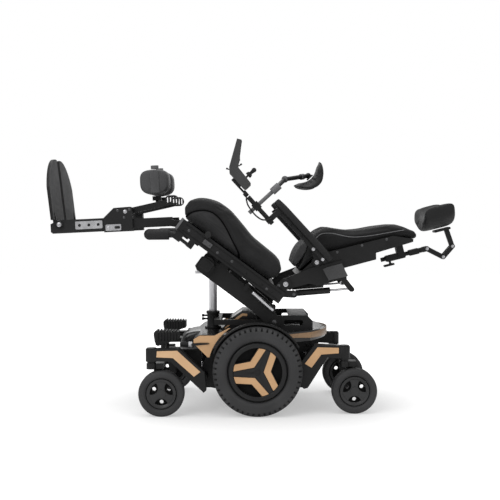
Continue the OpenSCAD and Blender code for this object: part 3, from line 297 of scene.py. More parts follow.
for name, mats, rule in (
    ("chassis_frame", [PAINT], None),
    ("base_shroud", [GLOSS], None),
    # The trim's rear part takes the shaded bronze copy: painted shade
    ("shroud_trim", [BRONZE, BRONZE_PAINTED_SHADE], lambda i, c, n: 1 if c.x < -60 else 0),
    ("wheel_fenders", [MATT], None),
    ("battery_pack", [GREY], None),
    ("power_module", [SILVER], None),
    ("drive_motors", [MATT], None),
    ("seat_tower", [PAINT], None),
    ("column_outer", [PAINT], None),
    ("tie_down_eyes", [SILVER], None),
    ("lift_arm", [PAINT], None),
    ("tilt_actuator", [PAINT], None),
    ("column_inner", [BRUSHED], None),
    ("seat_rails", [PAINT, GREY], lambda i, c, n: 0 if i < 2 else 1),
    ("seat_pan", [PAINT], None),
    ("transfer_grips", [PAINT, GRIP], lambda i, c, n: 1 if c.x > 341 else 0),
    ("back_shell", [PAINT, SMOKE], first_is_main),
    ("headrest_bracket", [PAINT], None),
    ("headrest_link_lower", [PAINT], None),
    ("headrest_link_upper", [PAINT], None),
    ("recline_strut", [PAINT], None),
    ("recline_rod", [SILVER], None),
    ("legrest_bars", [PAINT], None),
    ("legrest_carriage", [MATT, SILVER], first_is_main),
    ("knee_arm", [PAINT], None),
    ("joystick_mount", [MATT], None),
    ("joystick_pod", [CASING], None),
    ("joystick_gimbal", [SILVER], None),
    ("joystick_knob", [GRIP], None),
    ("chest_arm", [PAINT, GREY], lambda i, c, n: 1 if
     (c - at(ARM, (POST_X, ARMREST_Y, 77)) / MM).length < 27 else 0),
):
    paint(name, mats, rule)
for side in ("left", "right"):
    paint("drive_tyre_" + side, [RUBBER])
    out = 1 if side == "left" else -1
    # Recessed faces of the hub inside its arms take the near-black: painted shade
    paint("drive_hub_" + side, [SATIN, BRONZE, RECESS_PAINTED_SHADE], lambda i, c, n: 1 if i else 2 if
          n.y * out > 0.9 and c.y * out < HUB_ARM_Y and math.hypot(c.x, c.z - AXLE_Z) < 98 else 0)
    paint("headlight_" + side, [MATT])
    paint("footplate_" + side, [PAINT, MAT], lambda i, c, n: 1 if n.x < -0.9 else 0)
    paint("armrest_rail_" + side, [PAINT, GREY], lambda i, c, n: 1 if on_post(ARM.inverted() @ c) else 0)
    for end in ("front", "rear"):
        # Front caster arms take the lit bronze copy: painted light
        paint(f"caster_arm_{end}_{side}", [PAINT, BRONZE_PAINTED_LIT if end == "front" else BRONZE], first_is_main)
        paint(f"caster_fork_{end}_{side}", [PAINT])
        middle = out * (FRONT_CASTER_Y if end == "front" else REAR_CASTER_Y)
        # Faces at the middle of the caster hub, in its holes, take the near-black: painted shade
        paint(f"caster_wheel_{end}_{side}", [RUBBER, HUB, RECESS_PAINTED_SHADE], lambda i, c, n: 0 if i == 0 else 2 if
              abs(n.y) > 0.9 and abs(c.y - middle) < 8 else 1)

SOFT_NODES = ("seat_cushion", "back_cushion", "headrest_pad", "knee_pads", "armrest_pad_left", "armrest_pad_right",
              "chest_pad", "control_cable")
for name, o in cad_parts.items():
    if name in SOFT_NODES:
        continue
    weld = o.modifiers.new("weld", "WELD")
    weld.merge_threshold = 0.00001
    round_off = o.modifiers.new("edges", "BEVEL")
    round_off.width = 0.0011
    round_off.segments = 2
    round_off.limit_method = "ANGLE"
    round_off.angle_limit = math.radians(40)
    round_off.harden_normals = True


# Small builder for meshes made of turned, swept and extruded forms, in millimetres

class Build:
    def __init__(self):
        self.verts, self.faces, self.mats = [], [], []

    def add(self, verts, faces, mat=0):
        k = len(self.verts)
        self.verts += [Vector(v) for v in verts]
        self.faces += [[k + i for i in f] for f in faces]
        self.mats += [mat] * len(faces)

    def skin(self, rings, mat=0, ends=True):
        n = len(rings[0])
        faces = [[i * n + j, i * n + (j + 1) % n, (i + 1) * n + (j + 1) % n, (i + 1) * n + j]
                 for i in range(len(rings) - 1) for j in range(n)]
        if ends:
            faces += [list(range(n))[::-1], [(len(rings) - 1) * n + j for j in range(n)]]
        self.add([p for r in rings for p in r], faces, mat)

    def turn(self, profile, m, mat=0, n=28):
        """Revolves (radius, height) pairs round the local Z of m."""
        self.skin([[m @ Vector((max(r, 0.01) * math.cos(a), max(r, 0.01) * math.sin(a), h))
                    for a in (2 * math.pi * j / n for j in range(n))] for r, h in profile], mat)

    def sweep(self, path, r, mat=0, n=10):
        """Round tube along points in the model's frame."""
        rings, up = [], Vector((0, 1, 0.01))
        for i, p in enumerate(path):
            d = (path[min(i + 1, len(path) - 1)] - path[max(i - 1, 0)]).normalized()
            side = up.cross(d)
            if side.length < 0.05:
                side = Vector((1, 0, 0)).cross(d)
            side.normalize()
            up = d.cross(side).normalized()
            k = r[i] if isinstance(r, (list, tuple)) else r
            rings.append([p + k * (math.cos(a) * side + math.sin(a) * up)
                          for a in (2 * math.pi * j / n for j in range(n))])
        self.skin(rings, mat)

    def slab(self, outline, m, h0, h1, mat=0, edge=0.0):
        """Extrudes an outline of the local XY plane along local Z, with its upper edge drawn in by edge."""
        c = sum((Vector((x, y, 0)) for x, y in outline), Vector()) / len(outline)
        rows = [(h0, 0.0), (h1 - edge, 0.0), (h1, edge)] if edge else [(h0, 0.0), (h1, 0.0)]
        rings = []
        for h, d in rows:
            ring = []
            for x, y in outline:
                v = Vector((x, y, 0)) - c
                ring.append(m @ (c + v * (1 - d / max(v.length, d + 0.01)) + Vector((0, 0, h))))
            rings.append(ring)
        self.skin(rings, mat)

    def bolt(self, m, r, mat=0):
        """Button-head bolt on its washer, with a socket."""
        self.turn([(0, 0), (1.55 * r, 0), (1.55 * r, 0.22 * r), (1.05 * r, 0.3 * r), (1.0 * r, 0.75 * r),
                   (0.78 * r, 1.1 * r), (0.5 * r, 1.2 * r), (0.46 * r, 0.6 * r), (0, 0.55 * r)], m, mat, 20)

    def done(self, name, mats, body, sharp=38, edge=0.0):
        me = bpy.data.meshes.new(name)
        me.from_pydata([v * MM for v in self.verts], [], self.faces)
        for m in mats:
            me.materials.append(m)
        me.polygons.foreach_set("material_index", self.mats)
        me.validate()
        me.update()
        o = bpy.data.objects.new(name, me)
        scene.collection.objects.link(o)
        smooth(o, sharp)
        if edge:
            b = o.modifiers.new("edges", "BEVEL")
            b.width = edge * MM
            b.segments = 2
            b.limit_method = "ANGLE"
            b.angle_limit = math.radians(40)
        if body:
            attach(o, body)
        return o


def smooth(o, sharp=180):
    o.data.polygons.foreach_set("use_smooth", [True] * len(o.data.polygons))
    if sharp < 180:
        o.data.set_sharp_from_angle(angle=math.radians(sharp))


def facing_y(m, x, y, z, side=1):
    """Frame at a point whose Z looks out to the chair's left, or to its right with side -1."""
    return m @ Matrix.Translation((x, y, z)) @ Matrix.Rotation(math.radians(-90 * side), 4, "X")


def curve_through(points, per=10):
    """Smooth curve through points."""
    p = [Vector(points[0])] + [Vector(q) for q in points] + [Vector(points[-1])]
    out = []
    for i in range(1, len(p) - 2):
        for k in range(per):
            t = k / per
            a, b, c, d = p[i - 1], p[i], p[i + 1], p[i + 2]
            out.append(0.5 * (2 * b + (c - a) * t + (2 * a - 5 * b + 4 * c - d) * t * t
                              + (3 * b - a - 3 * c + d) * t ** 3))
    return out + [Vector(points[-1])]


# Cable of the controls, under the left armrest

route = [at(ARM, p) for p in curve_through(
    [(250, 286, -12), (258, 287, -30), (272, 288, -46), (296, 288, -53), (322, 286, -53), (350, 284, -49),
     (366, 278, -42), (376, 274, -36)], 5)]
line = bpy.data.curves.new("control_lead", "CURVE")
line.dimensions = "3D"
line.bevel_depth = 0.003
line.bevel_resolution = 4
spline = line.splines.new("POLY")
spline.points.add(len(route) - 1)
for q, p in zip(spline.points, route):
    q.co = (*p, 1)
line.materials.append(MATT)
lead = bpy.data.objects.new("control_lead", line)
scene.collection.objects.link(lead)
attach(lead, "armrest_left")
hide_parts("control_cable")


# Soft parts: the forms of the source's solids, drawn in a little and then blown up as sewn covers

def squarish(a, p):
    c, s = math.cos(a), math.sin(a)
    return math.copysign(abs(c) ** (2 / p), c), math.copysign(abs(s) ** (2 / p), s)


def pad_end(t, p):
    return max(0.0, 1 - abs(2 * t - 1) ** p) ** (1 / p)


def reading(x, table):
    if x <= table[0][0]:
        return table[0][1]
    for (x0, y0), (x1, y1) in zip(table, table[1:]):
        if x <= x1:
            return y0 + (y1 - y0) * (x - x0) / (x1 - x0)
    return table[-1][1]


def soft_reading(x, table, d):
    return (reading(x - d, table) + 2 * reading(x, table) + reading(x + d, table)) / 4


def shares(n, power=0.75):
    """Shares of a length, closer together at both ends."""
    return [0.5 - 0.5 * math.copysign(abs(math.cos(math.pi * i / n)) ** power, math.cos(math.pi * i / n))
            for i in range(n + 1)]


def angles(n):
    return [2 * math.pi * j / n for j in range(n)]


CUSHION_TOP = ((0, 0.50), (0.04, 0.64), (0.1, 0.685), (0.2, 0.70), (0.37, 0.73), (0.53, 0.88), (0.68, 1), (0.8, 1),
               (0.9, 0.9), (0.97, 0.7), (1, 0.52))
CUSHION_LOW = ((0, 0.2), (0.03, 0.02), (0.1, 0), (0.9, 0), (0.96, 0.04), (1, 0.22))
BACK_FRONT = ((0, 44), (0.03, 66), (0.08, 92), (0.135, 139), (0.19, 181), (0.26, 191), (0.36, 169), (0.48, 144),
              (0.6, 134), (0.72, 131), (0.88, 121), (0.93, 108), (0.97, 102), (0.99, 96), (1, 84))
BACK_REAR = ((0, 36), (0.18, 80), (0.26, 83.8), (0.83, 83.8), (0.96, 52), (0.985, 46), (1, 52))


def seat_rings(d):
    rings = []
    for t in shares(46):
        half = (230 - d) * (0.93 + 0.07 * pad_end(t, 6))
        z0 = 25.3 + 136 * soft_reading(t, CUSHION_LOW, 0.012)
        z1 = 25.3 + 136 * soft_reading(t, CUSHION_TOP, 0.03) - d
        x = 60 + d + (480 - 2 * d) * t
        rings.append([SEAT @ Vector((x, half * c, (z0 + z1) / 2 + (z1 - z0) / 2 * s))
                      for c, s in (squarish(a, 7) for a in angles(72))])
    return rings


def back_rings(d):
    rings = []
    for t in shares(48):
        half = (206 - d) * (0.9 + 0.1 * pad_end(t, 5))
        x0 = soft_reading(t, BACK_REAR, 0.012) + 0.3
        x1 = soft_reading(t, BACK_FRONT, 0.03) - d
        z = 58 + d + (512 - 2 * d) * t
        rings.append([BACK @ Vector(((x0 + x1) / 2 + (x1 - x0) / 2 * s, half * c, z))
                      for c, s in (squarish(a, 5) for a in angles(72))])
    return rings


def head_rings(d):
    rings = []
    for t in shares(44):
        y = -132 + d + (264 - 2 * d) * t
        k = 0.6 + 0.4 * pad_end(t, 4)
        rings.append([BACK @ Vector((88.6 + 46 * (abs(y) / 132) ** 2 + (35 - d) * k * c, y,
                                     691 + (75 - d) * k * s + 8 * k * c))
                      for c, s in (squarish(-a, 4.4) for a in angles(56))])
    return rings


def knee_rings(d):
    rings = []
    for t in shares(26):
        k = 0.72 + 0.28 * pad_end(t, 4)
        rings.append([LEG @ Vector((
            109 + (64 - d) * k * c, 36 + d + (130 - 2 * d) * t,
            180 + (56 - d) * k * (s ** 0.8 if s > 0 else s * (1 - 0.1 * abs(c)))))
            for c, s in (squarish(-a, 3) for a in angles(56))])
    return rings


def chest_rings(d):
    rings = []
    for t in shares(40):
        k, y = 0.5 + 0.5 * pad_end(t, 4), -95 + d + (190 - 2 * d) * t
        rings.append([ARM @ Vector((244 - 20 * (y / 95) ** 2 + (13 - d) * k * c + 45 * (k * s) ** 2, y,
                                    228 + (75 - d) * k * s)) for c, s in (squarish(-a, 3) for a in angles(48))])
    return rings


def arm_rings(d):
    rings = []
    for t in shares(44):
        k = 0.45 + 0.55 * pad_end(t, 5)
        x, half, z0, z1 = -31 + d + (322 - 2 * d) * t, (30 - d) * k, 32.3 + 4 * (1 - k), 61 - 6 * (1 - k) - d
        rings.append([ARM @ Vector((x, ARMREST_Y + half * c, (z0 + z1) / 2 + (z1 - z0) / 2 * s))
                      for c, s in (squarish(a, 4) for a in angles(40))])
    return rings


def soft_form(name, rings, voxel, flip=False):
    """Closed form from rings, remeshed to even small faces."""
    b = Build()
    b.skin(rings)
    o = b.done(name, [], None)
    if flip:
        o.data.transform(MIRROR)
        o.data.flip_normals()
    r = o.modifiers.new("even", "REMESH")
    r.mode = "VOXEL"
    r.voxel_size = voxel
    bpy.context.view_layer.update()
    me = bpy.data.meshes.new_from_object(o.evaluated_get(bpy.context.evaluated_depsgraph_get()))
    o.modifiers.clear()
    o.data = me
    smooth(o)
    return o


def blow_up(jobs):
    """Cloth with inner pressure, all pieces together; a point moves no further than its piece's cap."""
    starts = {}
    for o, held, pressure, cap in jobs:
        starts[o.name] = [v.co.copy() for v in o.data.vertices]
        g = o.vertex_groups.new(name="held")
        g.add([v.index for v in o.data.vertices if held(v.co / MM)], 1.0, "REPLACE")
        c = o.modifiers.new("cloth", "CLOTH")
        c.settings.quality = 5
        c.settings.vertex_group_mass = "held"
        c.settings.use_pressure = True
        c.settings.uniform_pressure_force = pressure
        c.settings.effector_weights.gravity = 0
        c.settings.air_damping = 2
        c.collision_settings.use_collision = False
        c.point_cache.frame_end = 20
    for f in range(1, 21):
        scene.frame_set(f)
    deps = bpy.context.evaluated_depsgraph_get()
    ends = {o.name: [v.co.copy() for v in o.evaluated_get(deps).data.vertices] for o, *_ in jobs}
    for o, held, pressure, cap in jobs:
        o.modifiers.clear()
        o.vertex_groups.clear()
        for v, a, b in zip(o.data.vertices, starts[o.name], ends[o.name]):
            d = b - a
            v.co = a + (d if d.length <= cap * MM else d.normalized() * cap * MM)
    scene.frame_set(1)


def below(m, height):
    """True for points lower than a height in a frame."""
    back = m.inverted()
    return lambda p: (back @ p).z < height


def behind(m, place):
    back = m.inverted()
    return lambda p: (back @ p).x < place


seat = soft_form("seat_cover", seat_rings(6), 0.0055)
back = soft_form("back_cover", back_rings(6), 0.0055)
head = soft_form("headrest_cover", head_rings(4), 0.0045)
knees = [soft_form("knee_cover_left", knee_rings(4), 0.0042),
         soft_form("knee_cover_right", knee_rings(4), 0.0042, True)]
chest = soft_form("chest_cover", chest_rings(3), 0.004)
arms = [soft_form("armrest_cover_left", arm_rings(1.5), 0.004),
        soft_form("armrest_cover_right", arm_rings(1.5), 0.004, True)]
nothing = lambda p: False
blow_up([
    (seat, below(SEAT, 30), 4, 9),
    (back, behind(BACK, 70), 4, 9),
    (head, behind(BACK, 62), 4, 6),
    (knees[0], nothing, 4, 5),
    (knees[1], nothing, 4, 5),
    (chest, nothing, 4, 4),
    (arms[0], below(ARM, 35), 3, 2.5),
    (arms[1], below(ARM, 35), 3, 2.5),
])


# Seams are laid on the finished covers: a groove with a piping in it. The seat's piping is near black, painted shade
# of its groove over the real seam

def on_side(o, m, points, side):
    """Line through points of a frame's XZ plane, laid on the left or right face of a piece: places and normals."""
    tree = BVHTree.FromPolygons([v.co for v in o.data.vertices], [p.vertices for p in o.data.polygons])
    found = []
    for p in curve_through([(x, 0, z) for x, z in points], 8):
        hit, normal, *_ = tree.ray_cast(at(m, (p.x, 500 * side, p.z)), Vector((0, -side, 0)))
        if hit:
            found.append((hit, normal))
    return found


def sew(o, lines, width, depth):
    """Draws the cover in along lines."""
    places = [p for found in lines for p, n in found]
    tree = KDTree(len(places))
    for i, p in enumerate(places):
        tree.insert(p, i)
    tree.balance()
    normals = [v.normal.copy() for v in o.data.vertices]
    for v, n in zip(o.data.vertices, normals):
        d = tree.find(v.co)[2] / (width * MM)
        if d < 1:
            v.co -= n * (depth * MM * (1 - d * d) ** 2)


def pipe(name, lines, r, lift, mat, body):
    b = Build()
    for found in lines:
        b.sweep([p / MM + n * lift for p, n in found], r, n=8)
    return b.done(name, [mat], body, 180)


SEAT_ARCH = ((511, 30), (504, 45), (496, 65), (481, 84), (464, 98.7), (443, 109.4), (421, 114.2), (396.5, 112),
             (371, 105), (337, 90), (301, 71), (269, 54.7), (245, 40), (238, 30))
BACK_EDGE = ((147.6, 162.2), (157.5, 178.7), (160.8, 194.4), (156.9, 218.9), (148.9, 242.4), (137.3, 265),
             (126.1, 287.7), (115.3, 319), (108.2, 359.6), (103.2, 405), (100.2, 451), (97.1, 492.8), (95.3, 520))
lines = [on_side(seat, SEAT, SEAT_ARCH, side) for side in (1, -1)]
sew(seat, lines, 10, 4.2)
# Near-black seat piping: painted shade of the groove
pipe("seat_piping_painted_seam_shade", lines, 2.8, -2.2, PIPING_PAINTED_SEAM_SHADE, "seat")
lines = [on_side(back, BACK, BACK_EDGE, side) for side in (1, -1)]
sew(back, lines, 11, 2.4)
pipe("back_piping", lines, 1.9, -1.0, PALE_PIPING, "back")


def inside(x, z, outline):
    """True for a point within an outline."""
    hit = False
    for (x0, z0), (x1, z1) in zip(outline, outline[1:] + outline[:1]):
        if (z0 > z) != (z1 > z) and x < x0 + (x1 - x0) * (z - z0) / (z1 - z0):
            hit = not hit
    return hit


for o, mat, body, nodes, slot, fill in (
    (seat, SEAT_FABRIC, "seat", ["seat_cushion"], "cover_fabric", 0.8),
    (back, FABRIC, "back", ["back_cushion"], "cover_fabric", 0.75),
    (head, SKIN, "headrest", ["headrest_pad"], "pad_skin", 0.75),
    # Knee pads take the lighter skin copy: painted light
    (knees[0], KNEE_SKIN_PAINTED_LIT, "knee_support", ["knee_pads"], "pad_skin", 0.8),
    (knees[1], KNEE_SKIN_PAINTED_LIT, "knee_support", ["knee_pads"], "pad_skin", 0.8),
    (chest, SKIN, "chest_support", ["chest_pad"], "pad_skin", 0.8),
    (arms[0], SKIN, "armrest_left", ["armrest_pad_left"], "pad_skin", 0.9),
    (arms[1], SKIN, "armrest_right", ["armrest_pad_right"], "pad_skin", 0.9),
):
    o.data.materials.clear()
    o.data.materials.append(mat)
    if o is seat:
        o.data.materials.append(SIDE_FABRIC)
        back_to_seat = SEAT.inverted()
        for p in o.data.polygons:
            q = back_to_seat @ (p.center / MM)
            p.material_index = 1 if abs(p.normal.y) > 0.5 and inside(q.x, q.z, list(SEAT_ARCH)) else 0
    smooth(o)
    fine = o.modifiers.new("fine", "SUBSURF")
    fine.levels = 1
    fine.render_levels = 1
    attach(o, body)
    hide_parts(*nodes)


def copy_solid(node_name, pick, name, mats, body):
    """Copies one rigid solid of a node whose soft solid is replaced."""
    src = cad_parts[node_name]
    b = Build()
    for faces in [f for i, f in enumerate(islands(src)) if pick(i)]:
        used = {}
        for f in faces:
            for v in src.data.polygons[f].vertices:
                used.setdefault(tuple(round(c * 1e5) for c in src.data.vertices[v].co), (len(used), v))
        look = {k: i for k, (i, v) in used.items()}
        rows = [[look[tuple(round(c * 1e5) for c in src.data.vertices[v].co)] for v in src.data.polygons[f].vertices]
                for f in faces]
        b.add([src.data.vertices[v].co / MM for i, v in used.values()], [r for r in rows if len(set(r)) == len(r)])
    return b.done(name, mats, body, 30)


copy_solid("headrest_pad", lambda i: i > 0, "headrest_plate", [PAINT], "headrest")
copy_solid("knee_pads", lambda i: i > 1, "knee_knobs", [GREY], "knee_support")


# Fasteners and small fittings that the solids don't carry

def bolts(name, body, m, places, r, mat=SILVER, sides=(1, -1)):
    """Bolts at (x, y, z) of a frame, looking out to the left, and the same on the right."""
    b = Build()
    for x, y, z in places:
        for side in sides:
            b.bolt(facing_y(m, x, y * side, z, side), r)
    return b.done(name, [mat], body)


bolts("rail_bolts", "seat", SEAT, [(x, RAIL_FACE, z) for x, z in ((461, 0), (317, -4), (73, -4), (250, 2))], 3.6,
      STEEL)
bolts("rail_plugs", "seat", SEAT, [(x, RAIL_FACE, -3) for x in (176, 99, 49)], 3.6, MATT)
bolts("recline_bolts", "seat", SEAT, [(21, RECLINE_FACE, 55)], 6.5)
bolts("recline_small_bolts", "seat", SEAT, [(40, RECLINE_FACE, 34), (-30, RECLINE_FACE, 42)], 4.0, STEEL)
bolts("shell_bolts", "back", BACK, [(x, SHELL_FACE, z) for x, z in ((74, 234), (76, 338), (76, 440))], 3.4, STEEL)
for side, sign in (("left", 1), ("right", -1)):
    bolts("armrest_bolts_" + side, "armrest_" + side, ARM, [(x, ARMREST_FACE, ARMREST_SCREWS) for x in (49, -6)], 4.2,
          sides=(sign,))
for side, sign in (("left", 1), ("right", -1)):
    bolts("armrest_plugs_" + side, "armrest_" + side, ARM,
          [(x, ARMREST_FACE, ARMREST_SCREWS) for x in (236, 179, 117)], 3.4, MATT, (sign,))
bolts("armrest_hinge_bolts", "back", ARM, [(0, 266, 0)], 5.5)
bolts("tower_bolts", "base", BASE, [(-69, 167, 361)], 5.5, STEEL)
bolts("tower_plate_bolts", "base", BASE, [(x, TOWER_FACE, z) for x, z in ((-205, 262), (-120, 300), (-44, 262))], 4.5,
      PAINT)
bolts("carriage_bolts", "leg_lower", LEG, [(x, CARRIAGE_FACE, z) for x, z in ((210, 72), (258, 70), (233, 40))], 3.6,
      STEEL)
for side, sign in (("left", 1), ("right", -1)):
    bolts("foot_hinge_bolts_" + side, "foot_" + side, LEG, [(496, 203, 24)], 6.0, sides=(sign,))
bolts("knee_hinge_bolts", "knee_support", LEG, [(228, 194, 64)], 5.0)
bolts("headrest_bolts_a", "back", BACK, [(-15, 16, 625)], 4.2)
bolts("headrest_bolts_b", "headrest_low", BACK, [(-66, 13, 684)], 4.2)
bolts("headrest_bolts_c", "headrest_mid", BACK, [(-31, 12, 733)], 4.2)


def rounded(w, h, r, n=4):
    """Outline of a rectangle with round corners."""
    out = []
    for cx, cy, start in ((w / 2 - r, h / 2 - r, 0), (r - w / 2, h / 2 - r, 90), (r - w / 2, r - h / 2, 180),
                          (w / 2 - r, r - h / 2, 270)):
        for i in range(n + 1):
            a = math.radians(start + 90 * i / n)
            out.append((cx + r * math.cos(a), cy + r * math.sin(a)))
    return out


def shifted(m, x, y, z=0.0):
    return m @ Matrix.Translation((x, y, z))


def sloping(m, p, q, y, flip=1):
    """Frame at the middle of a face that runs from p to q in a frame's XZ plane; its Z is the face's normal."""
    dx, dz = q[0] - p[0], q[1] - p[1]
    k = math.hypot(dx, dz)
    dx, dz = flip * dx / k, flip * dz / k
    return m @ Matrix(((dx, 0, -dz, (p[0] + q[0]) / 2), (0, 1, 0, y), (dz, 0, dx, (p[1] + q[1]) / 2), (0, 0, 0, 1)))


# Seat and lift: caps of the stand hinge, rail clamps with their knobs, bright actuator sleeves

b = Build()
for side in (1, -1):
    m = facing_y(LIFT, 362, 194 * side, 26, side)
    b.slab(rounded(54, 50, 9), m, 0, 7, 0, 2)
    b.slab(rounded(36, 32, 6), m, 6, 8.6, 1, 1)
b.done("stand_caps", [MATT, PAINT], "lift", edge=0.8)
b = Build()
for side in (1, -1):
    m = facing_y(SEAT, 370, RAIL_FACE * side, 1, side)
    b.slab(rounded(40, 20, 4), m, 0, 5, 0, 1.2)
    b.bolt(shifted(m, -9, 0, 5), 3.6)
    b.bolt(shifted(m, 10, 0, 5), 3.6)
    b.turn([(0, 0), (5, 0), (5, 5), (13, 6), (14, 9), (14, 14), (12, 17), (0, 18)],
           facing_y(SEAT, 389, RAIL_FACE * side, 31, side), 1)
b.done("rail_clamps", [STEEL, MATT], "seat")
b = Build()
for side in (1, -1):
    run = [LIFT @ Vector((35 + 110 * t, 212 * side, 36.5 + 14 * t)) for t in (0, 0.02, 0.05, 0.95, 0.98, 1)]
    b.sweep(run, [7, 8.8, 9.4, 9.4, 8.8, 7], 0, 20)
    b.sweep([LIFT @ Vector((x, 212 * side, z)) for x, z in ((24, 35), (31, 36), (39, 37))], [6.5, 7.5, 6], 1, 14)
b.done("actuator_sleeves", [SILVER, PAINT], "lift")


# Legs: bright latch plates on the carriage, bands on the knee pads

b = Build()
for side in (1, -1):
    m = facing_y(LEG, 278, CARRIAGE_FACE * side, 2, side)
    b.slab(rounded(64, 26, 5), m, 0, 3.4, 0, 1)
    b.slab(rounded(22, 11, 4), shifted(m, -16, 0), 3.3, 5.2, 1, 0.8)
    b.bolt(shifted(m, 20, 0, 3.4), 4.2)
b.done("latch_plates", [SILVER, MATT], "leg_lower")
b = Build()
for side in (1, -1):
    band = []
    for i in range(17):
        z = 136 + 88 * i / 16
        band.append([LEG @ Vector((x, side * (165 + d), z)) for x, d in
                     ((87, 0.2), (88.5, 2.6), (91, 3.2), (120, 3.2), (122.5, 2.6), (124, 0.2))])
    for i in range(16):
        for j in range(5):
            q = [band[i][j], band[i][j + 1], band[i + 1][j + 1], band[i + 1][j]]
            b.add(q if side < 0 else q[::-1], [[0, 1, 2, 3]])
b.done("knee_bands", [KNEE_BAND], "knee_support", 60)


# Controls: display with its keys, toggles, clamps of the chest support

b = Build()
m = sloping(ARM, (498, 36), (557, 106), ARMREST_Y)
b.slab(rounded(86, 60, 6), m, -0.5, 1.4, 0, 0.5)
b.slab(rounded(58, 48, 4), shifted(m, 10, 0), 1.3, 2.0, 1, 0.3)
for x, y in ((-31, -20), (-31, -7), (-31, 7), (-31, 20)):
    b.slab(rounded(9, 9, 2.5), shifted(m, x, y), 1.3, 3.2, 2, 0.8)
b.done("control_display", [CASING, GLASS, GREY], "joystick")
b = Build()
for x, z, dx, dz in ((490, 28, -2, 16), (505, -8, 12, -6)):
    run = [ARM @ Vector((x + dx * t, ARMREST_Y + 14, z + dz * t)) for t in (0, 0.4, 0.6, 0.9, 1)]
    b.sweep(run, [2.4, 2.2, 3.6, 3.8, 1.6], 0, 12)
b.done("control_toggles", [MATT], "joystick")
b = Build()
way = [Vector((330 - 55 * t, 130 - 130 * t, 137 + 91 * t)) for t in (0.66, 0.67, 0.78, 0.79)]
b.sweep([ARM @ v for v in way], [10.5, 12.5, 12.5, 10.5], 0, 20)
b.turn([(0, 0), (9, 0), (10, 2), (10, 8), (8, 10), (0, 10.5)],
       ARM @ Matrix.Translation((330, 142, 137)) @ Matrix.Rotation(math.radians(-90), 4, "X"), 0)
b.done("chest_clamps", [STEEL], "chest_support")


# Base: lamp lenses, nose of the cover, side guards and brake release levers

for side, sign in (("left", 1), ("right", -1)):
    b = Build()
    m = sloping(BASE, (418, 324), (410, 276), LAMP_Y * sign)
    b.slab(rounded(36, 52, 7), m, -0.4, 2.4, 0, 0.9)
    b.slab(rounded(30, 20, 6), shifted(m, 0, -13), 2.3, 3.6, 0, 1.0)
    b.slab(rounded(30, 20, 6), shifted(m, 0, 13), 2.3, 3.6, 0, 1.0)
    b.done("lamp_lens_" + side, [LENS], "lamp_" + side)
b = Build()
nose = ((228, 262), (228, 314), (246, 316), (272, 313), (298, 305), (314, 290), (320, 272), (318, 262))
rows = []
for y, k in ((-100, 0.5), (-99, 0.72), (-95, 0.88), (-86, 0.97), (-70, 1), (0, 1.02), (70, 1), (86, 0.97), (95, 0.88),
             (99, 0.72), (100, 0.5)):
    rows.append([Vector((228 + (x - 228) * k, y, 262 + (z - 262) * (0.5 + 0.5 * k))) for x, z in nose])
b.skin(rows)
b.done("nose_cover", [GLOSS], "base", 50)
b = Build()
for side in (1, -1):
    m = facing_y(BASE, 0, 176 * side, 0, side)
    guard = [(228, 178), (228, 250), (314, 250), (298, 234), (254, 184)]
    b.slab([(x, -z * side) for x, z in guard], m, 0, 6, 0, 1.2)
b.done("side_guards", [PAINT], "base", edge=0.8)
b = Build()
for side in (1, -1):
    run = [Vector((x, 240 * side, 279)) for x in (276, 277, 281, 306, 310, 311)]
    b.sweep(run, [9, 10, 10.5, 10.5, 9.5, 7], 0, 20)
    b.sweep([Vector((x, 240 * side, 279)) for x in (261, 262, 276, 277)], [9, 11.4, 11.4, 9], 1, 20)
    m = facing_y(BASE, 0, 251 * side, 0, side)
    lever = [(264, 274), (264, 284), (228, 286.5), (196, 285.5), (192, 283), (196, 280.5), (228, 277.5)]
    b.slab([(x, -z * side) for x, z in lever], m, 0, 6.5, 0, 1.6)
b.done("release_levers", [MATT, PALE], "base", edge=0.6)


# Mesh-covered lumbar panel at the foot of the back cushion

b = Build()
front = ((72, 46), (96, 59), (115, 73), (131, 89), (143, 106), (150, 124))
rear = ((133, 130), (118, 122), (103, 112), (83, 92), (66, 70), (56, 54))
middle = Vector((105, 0, 90))
rows = []
for t in shares(24):
    k = 0.55 + 0.45 * pad_end(t, 6)
    rows.append([BACK @ (middle + Vector((x - 105, 0, z - 90)) * k + Vector((0, -186 + 372 * t, 0)))
                 for x, z in [(p.x, p.z) for p in curve_through([(x, 0, z) for x, z in front], 3)]
                 + [(p.x, p.z) for p in curve_through([(x, 0, z) for x, z in rear], 3)]])
b.skin(rows)
panel = b.done("lumbar_panel", [MESH], "back", 70)


# Floor, light and background

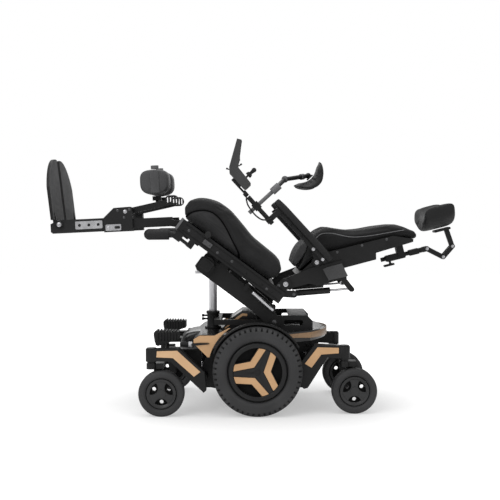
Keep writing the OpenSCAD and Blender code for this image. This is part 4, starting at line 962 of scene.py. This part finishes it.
def studio():
    b = Build()
    b.add([(-9000, -9000, 0), (9000, -9000, 0), (9000, 9000, 0), (-9000, 9000, 0)], [[0, 1, 2, 3]])
    m = bpy.data.materials.new("floor")
    m.use_nodes = True
    t = m.node_tree
    t.nodes.clear()
    ray = node(t, "LightPath")
    place = node(t, "TexCoord").outputs["Object"]
    away = node(t, "VectorMath", {"operation": "LENGTH"}, {0: place}).outputs["Value"]
    # Less white near the chair than far from it: painted shade round the chair, on top of the floor's own rendered
    # shadow
    share = node(t, "MapRange", {"interpolation_type": "SMOOTHSTEP"}, {
        "Value": away, "From Min": 0.35, "From Max": 1.3, "To Min": 0.27, "To Max": 1.0}).outputs["Result"]
    part = node(t, "Math", {"operation": "MULTIPLY"}, {0: ray.outputs["Is Camera Ray"], 1: share})
    plain = node(t, "BsdfDiffuse", None, {"Color": (0.86, 0.86, 0.86, 1)})
    white = node(t, "Emission", None, {"Color": (1, 1, 1, 1), "Strength": 1.45})
    mix = node(t, "MixShader", None, {0: part.outputs["Value"], 1: plain.outputs[0], 2: white.outputs[0]})
    t.links.new(mix.outputs[0], node(t, "OutputMaterial").inputs["Surface"])
    floor = b.done("floor", [m], None)
    world = bpy.data.worlds.new("studio")
    scene.world = world
    world.use_nodes = True
    t = world.node_tree
    t.nodes.clear()
    ray = node(t, "LightPath")
    dim = node(t, "Background", None, {"Color": (1, 1, 1, 1), "Strength": 0.5})
    white = node(t, "Background", None, {"Color": (1, 1, 1, 1), "Strength": 1.0})
    mix = node(t, "MixShader", None, {0: ray.outputs["Is Camera Ray"], 1: dim.outputs[0], 2: white.outputs[0]})
    t.links.new(mix.outputs[0], node(t, "OutputWorld").inputs["Surface"])
    for name, place, size, power in (
        ("key", (1.9, 2.5, 2.8), 2.4, 46),
        ("fill", (-2.2, 2.2, 1.7), 2.0, 10),
        ("top", (-0.1, -0.2, 3.3), 2.6, 42),
        ("rear", (0.3, -2.8, 2.0), 2.4, 18),
    ):
        lamp = bpy.data.lights.new(name, "AREA")
        lamp.size = size
        lamp.energy = power
        o = bpy.data.objects.new(name, lamp)
        o.location = place
        o.rotation_euler = (Vector((0, 0, 0.55)) - Vector(place)).to_track_quat("-Z", "Y").to_euler()
        scene.collection.objects.link(o)


studio()
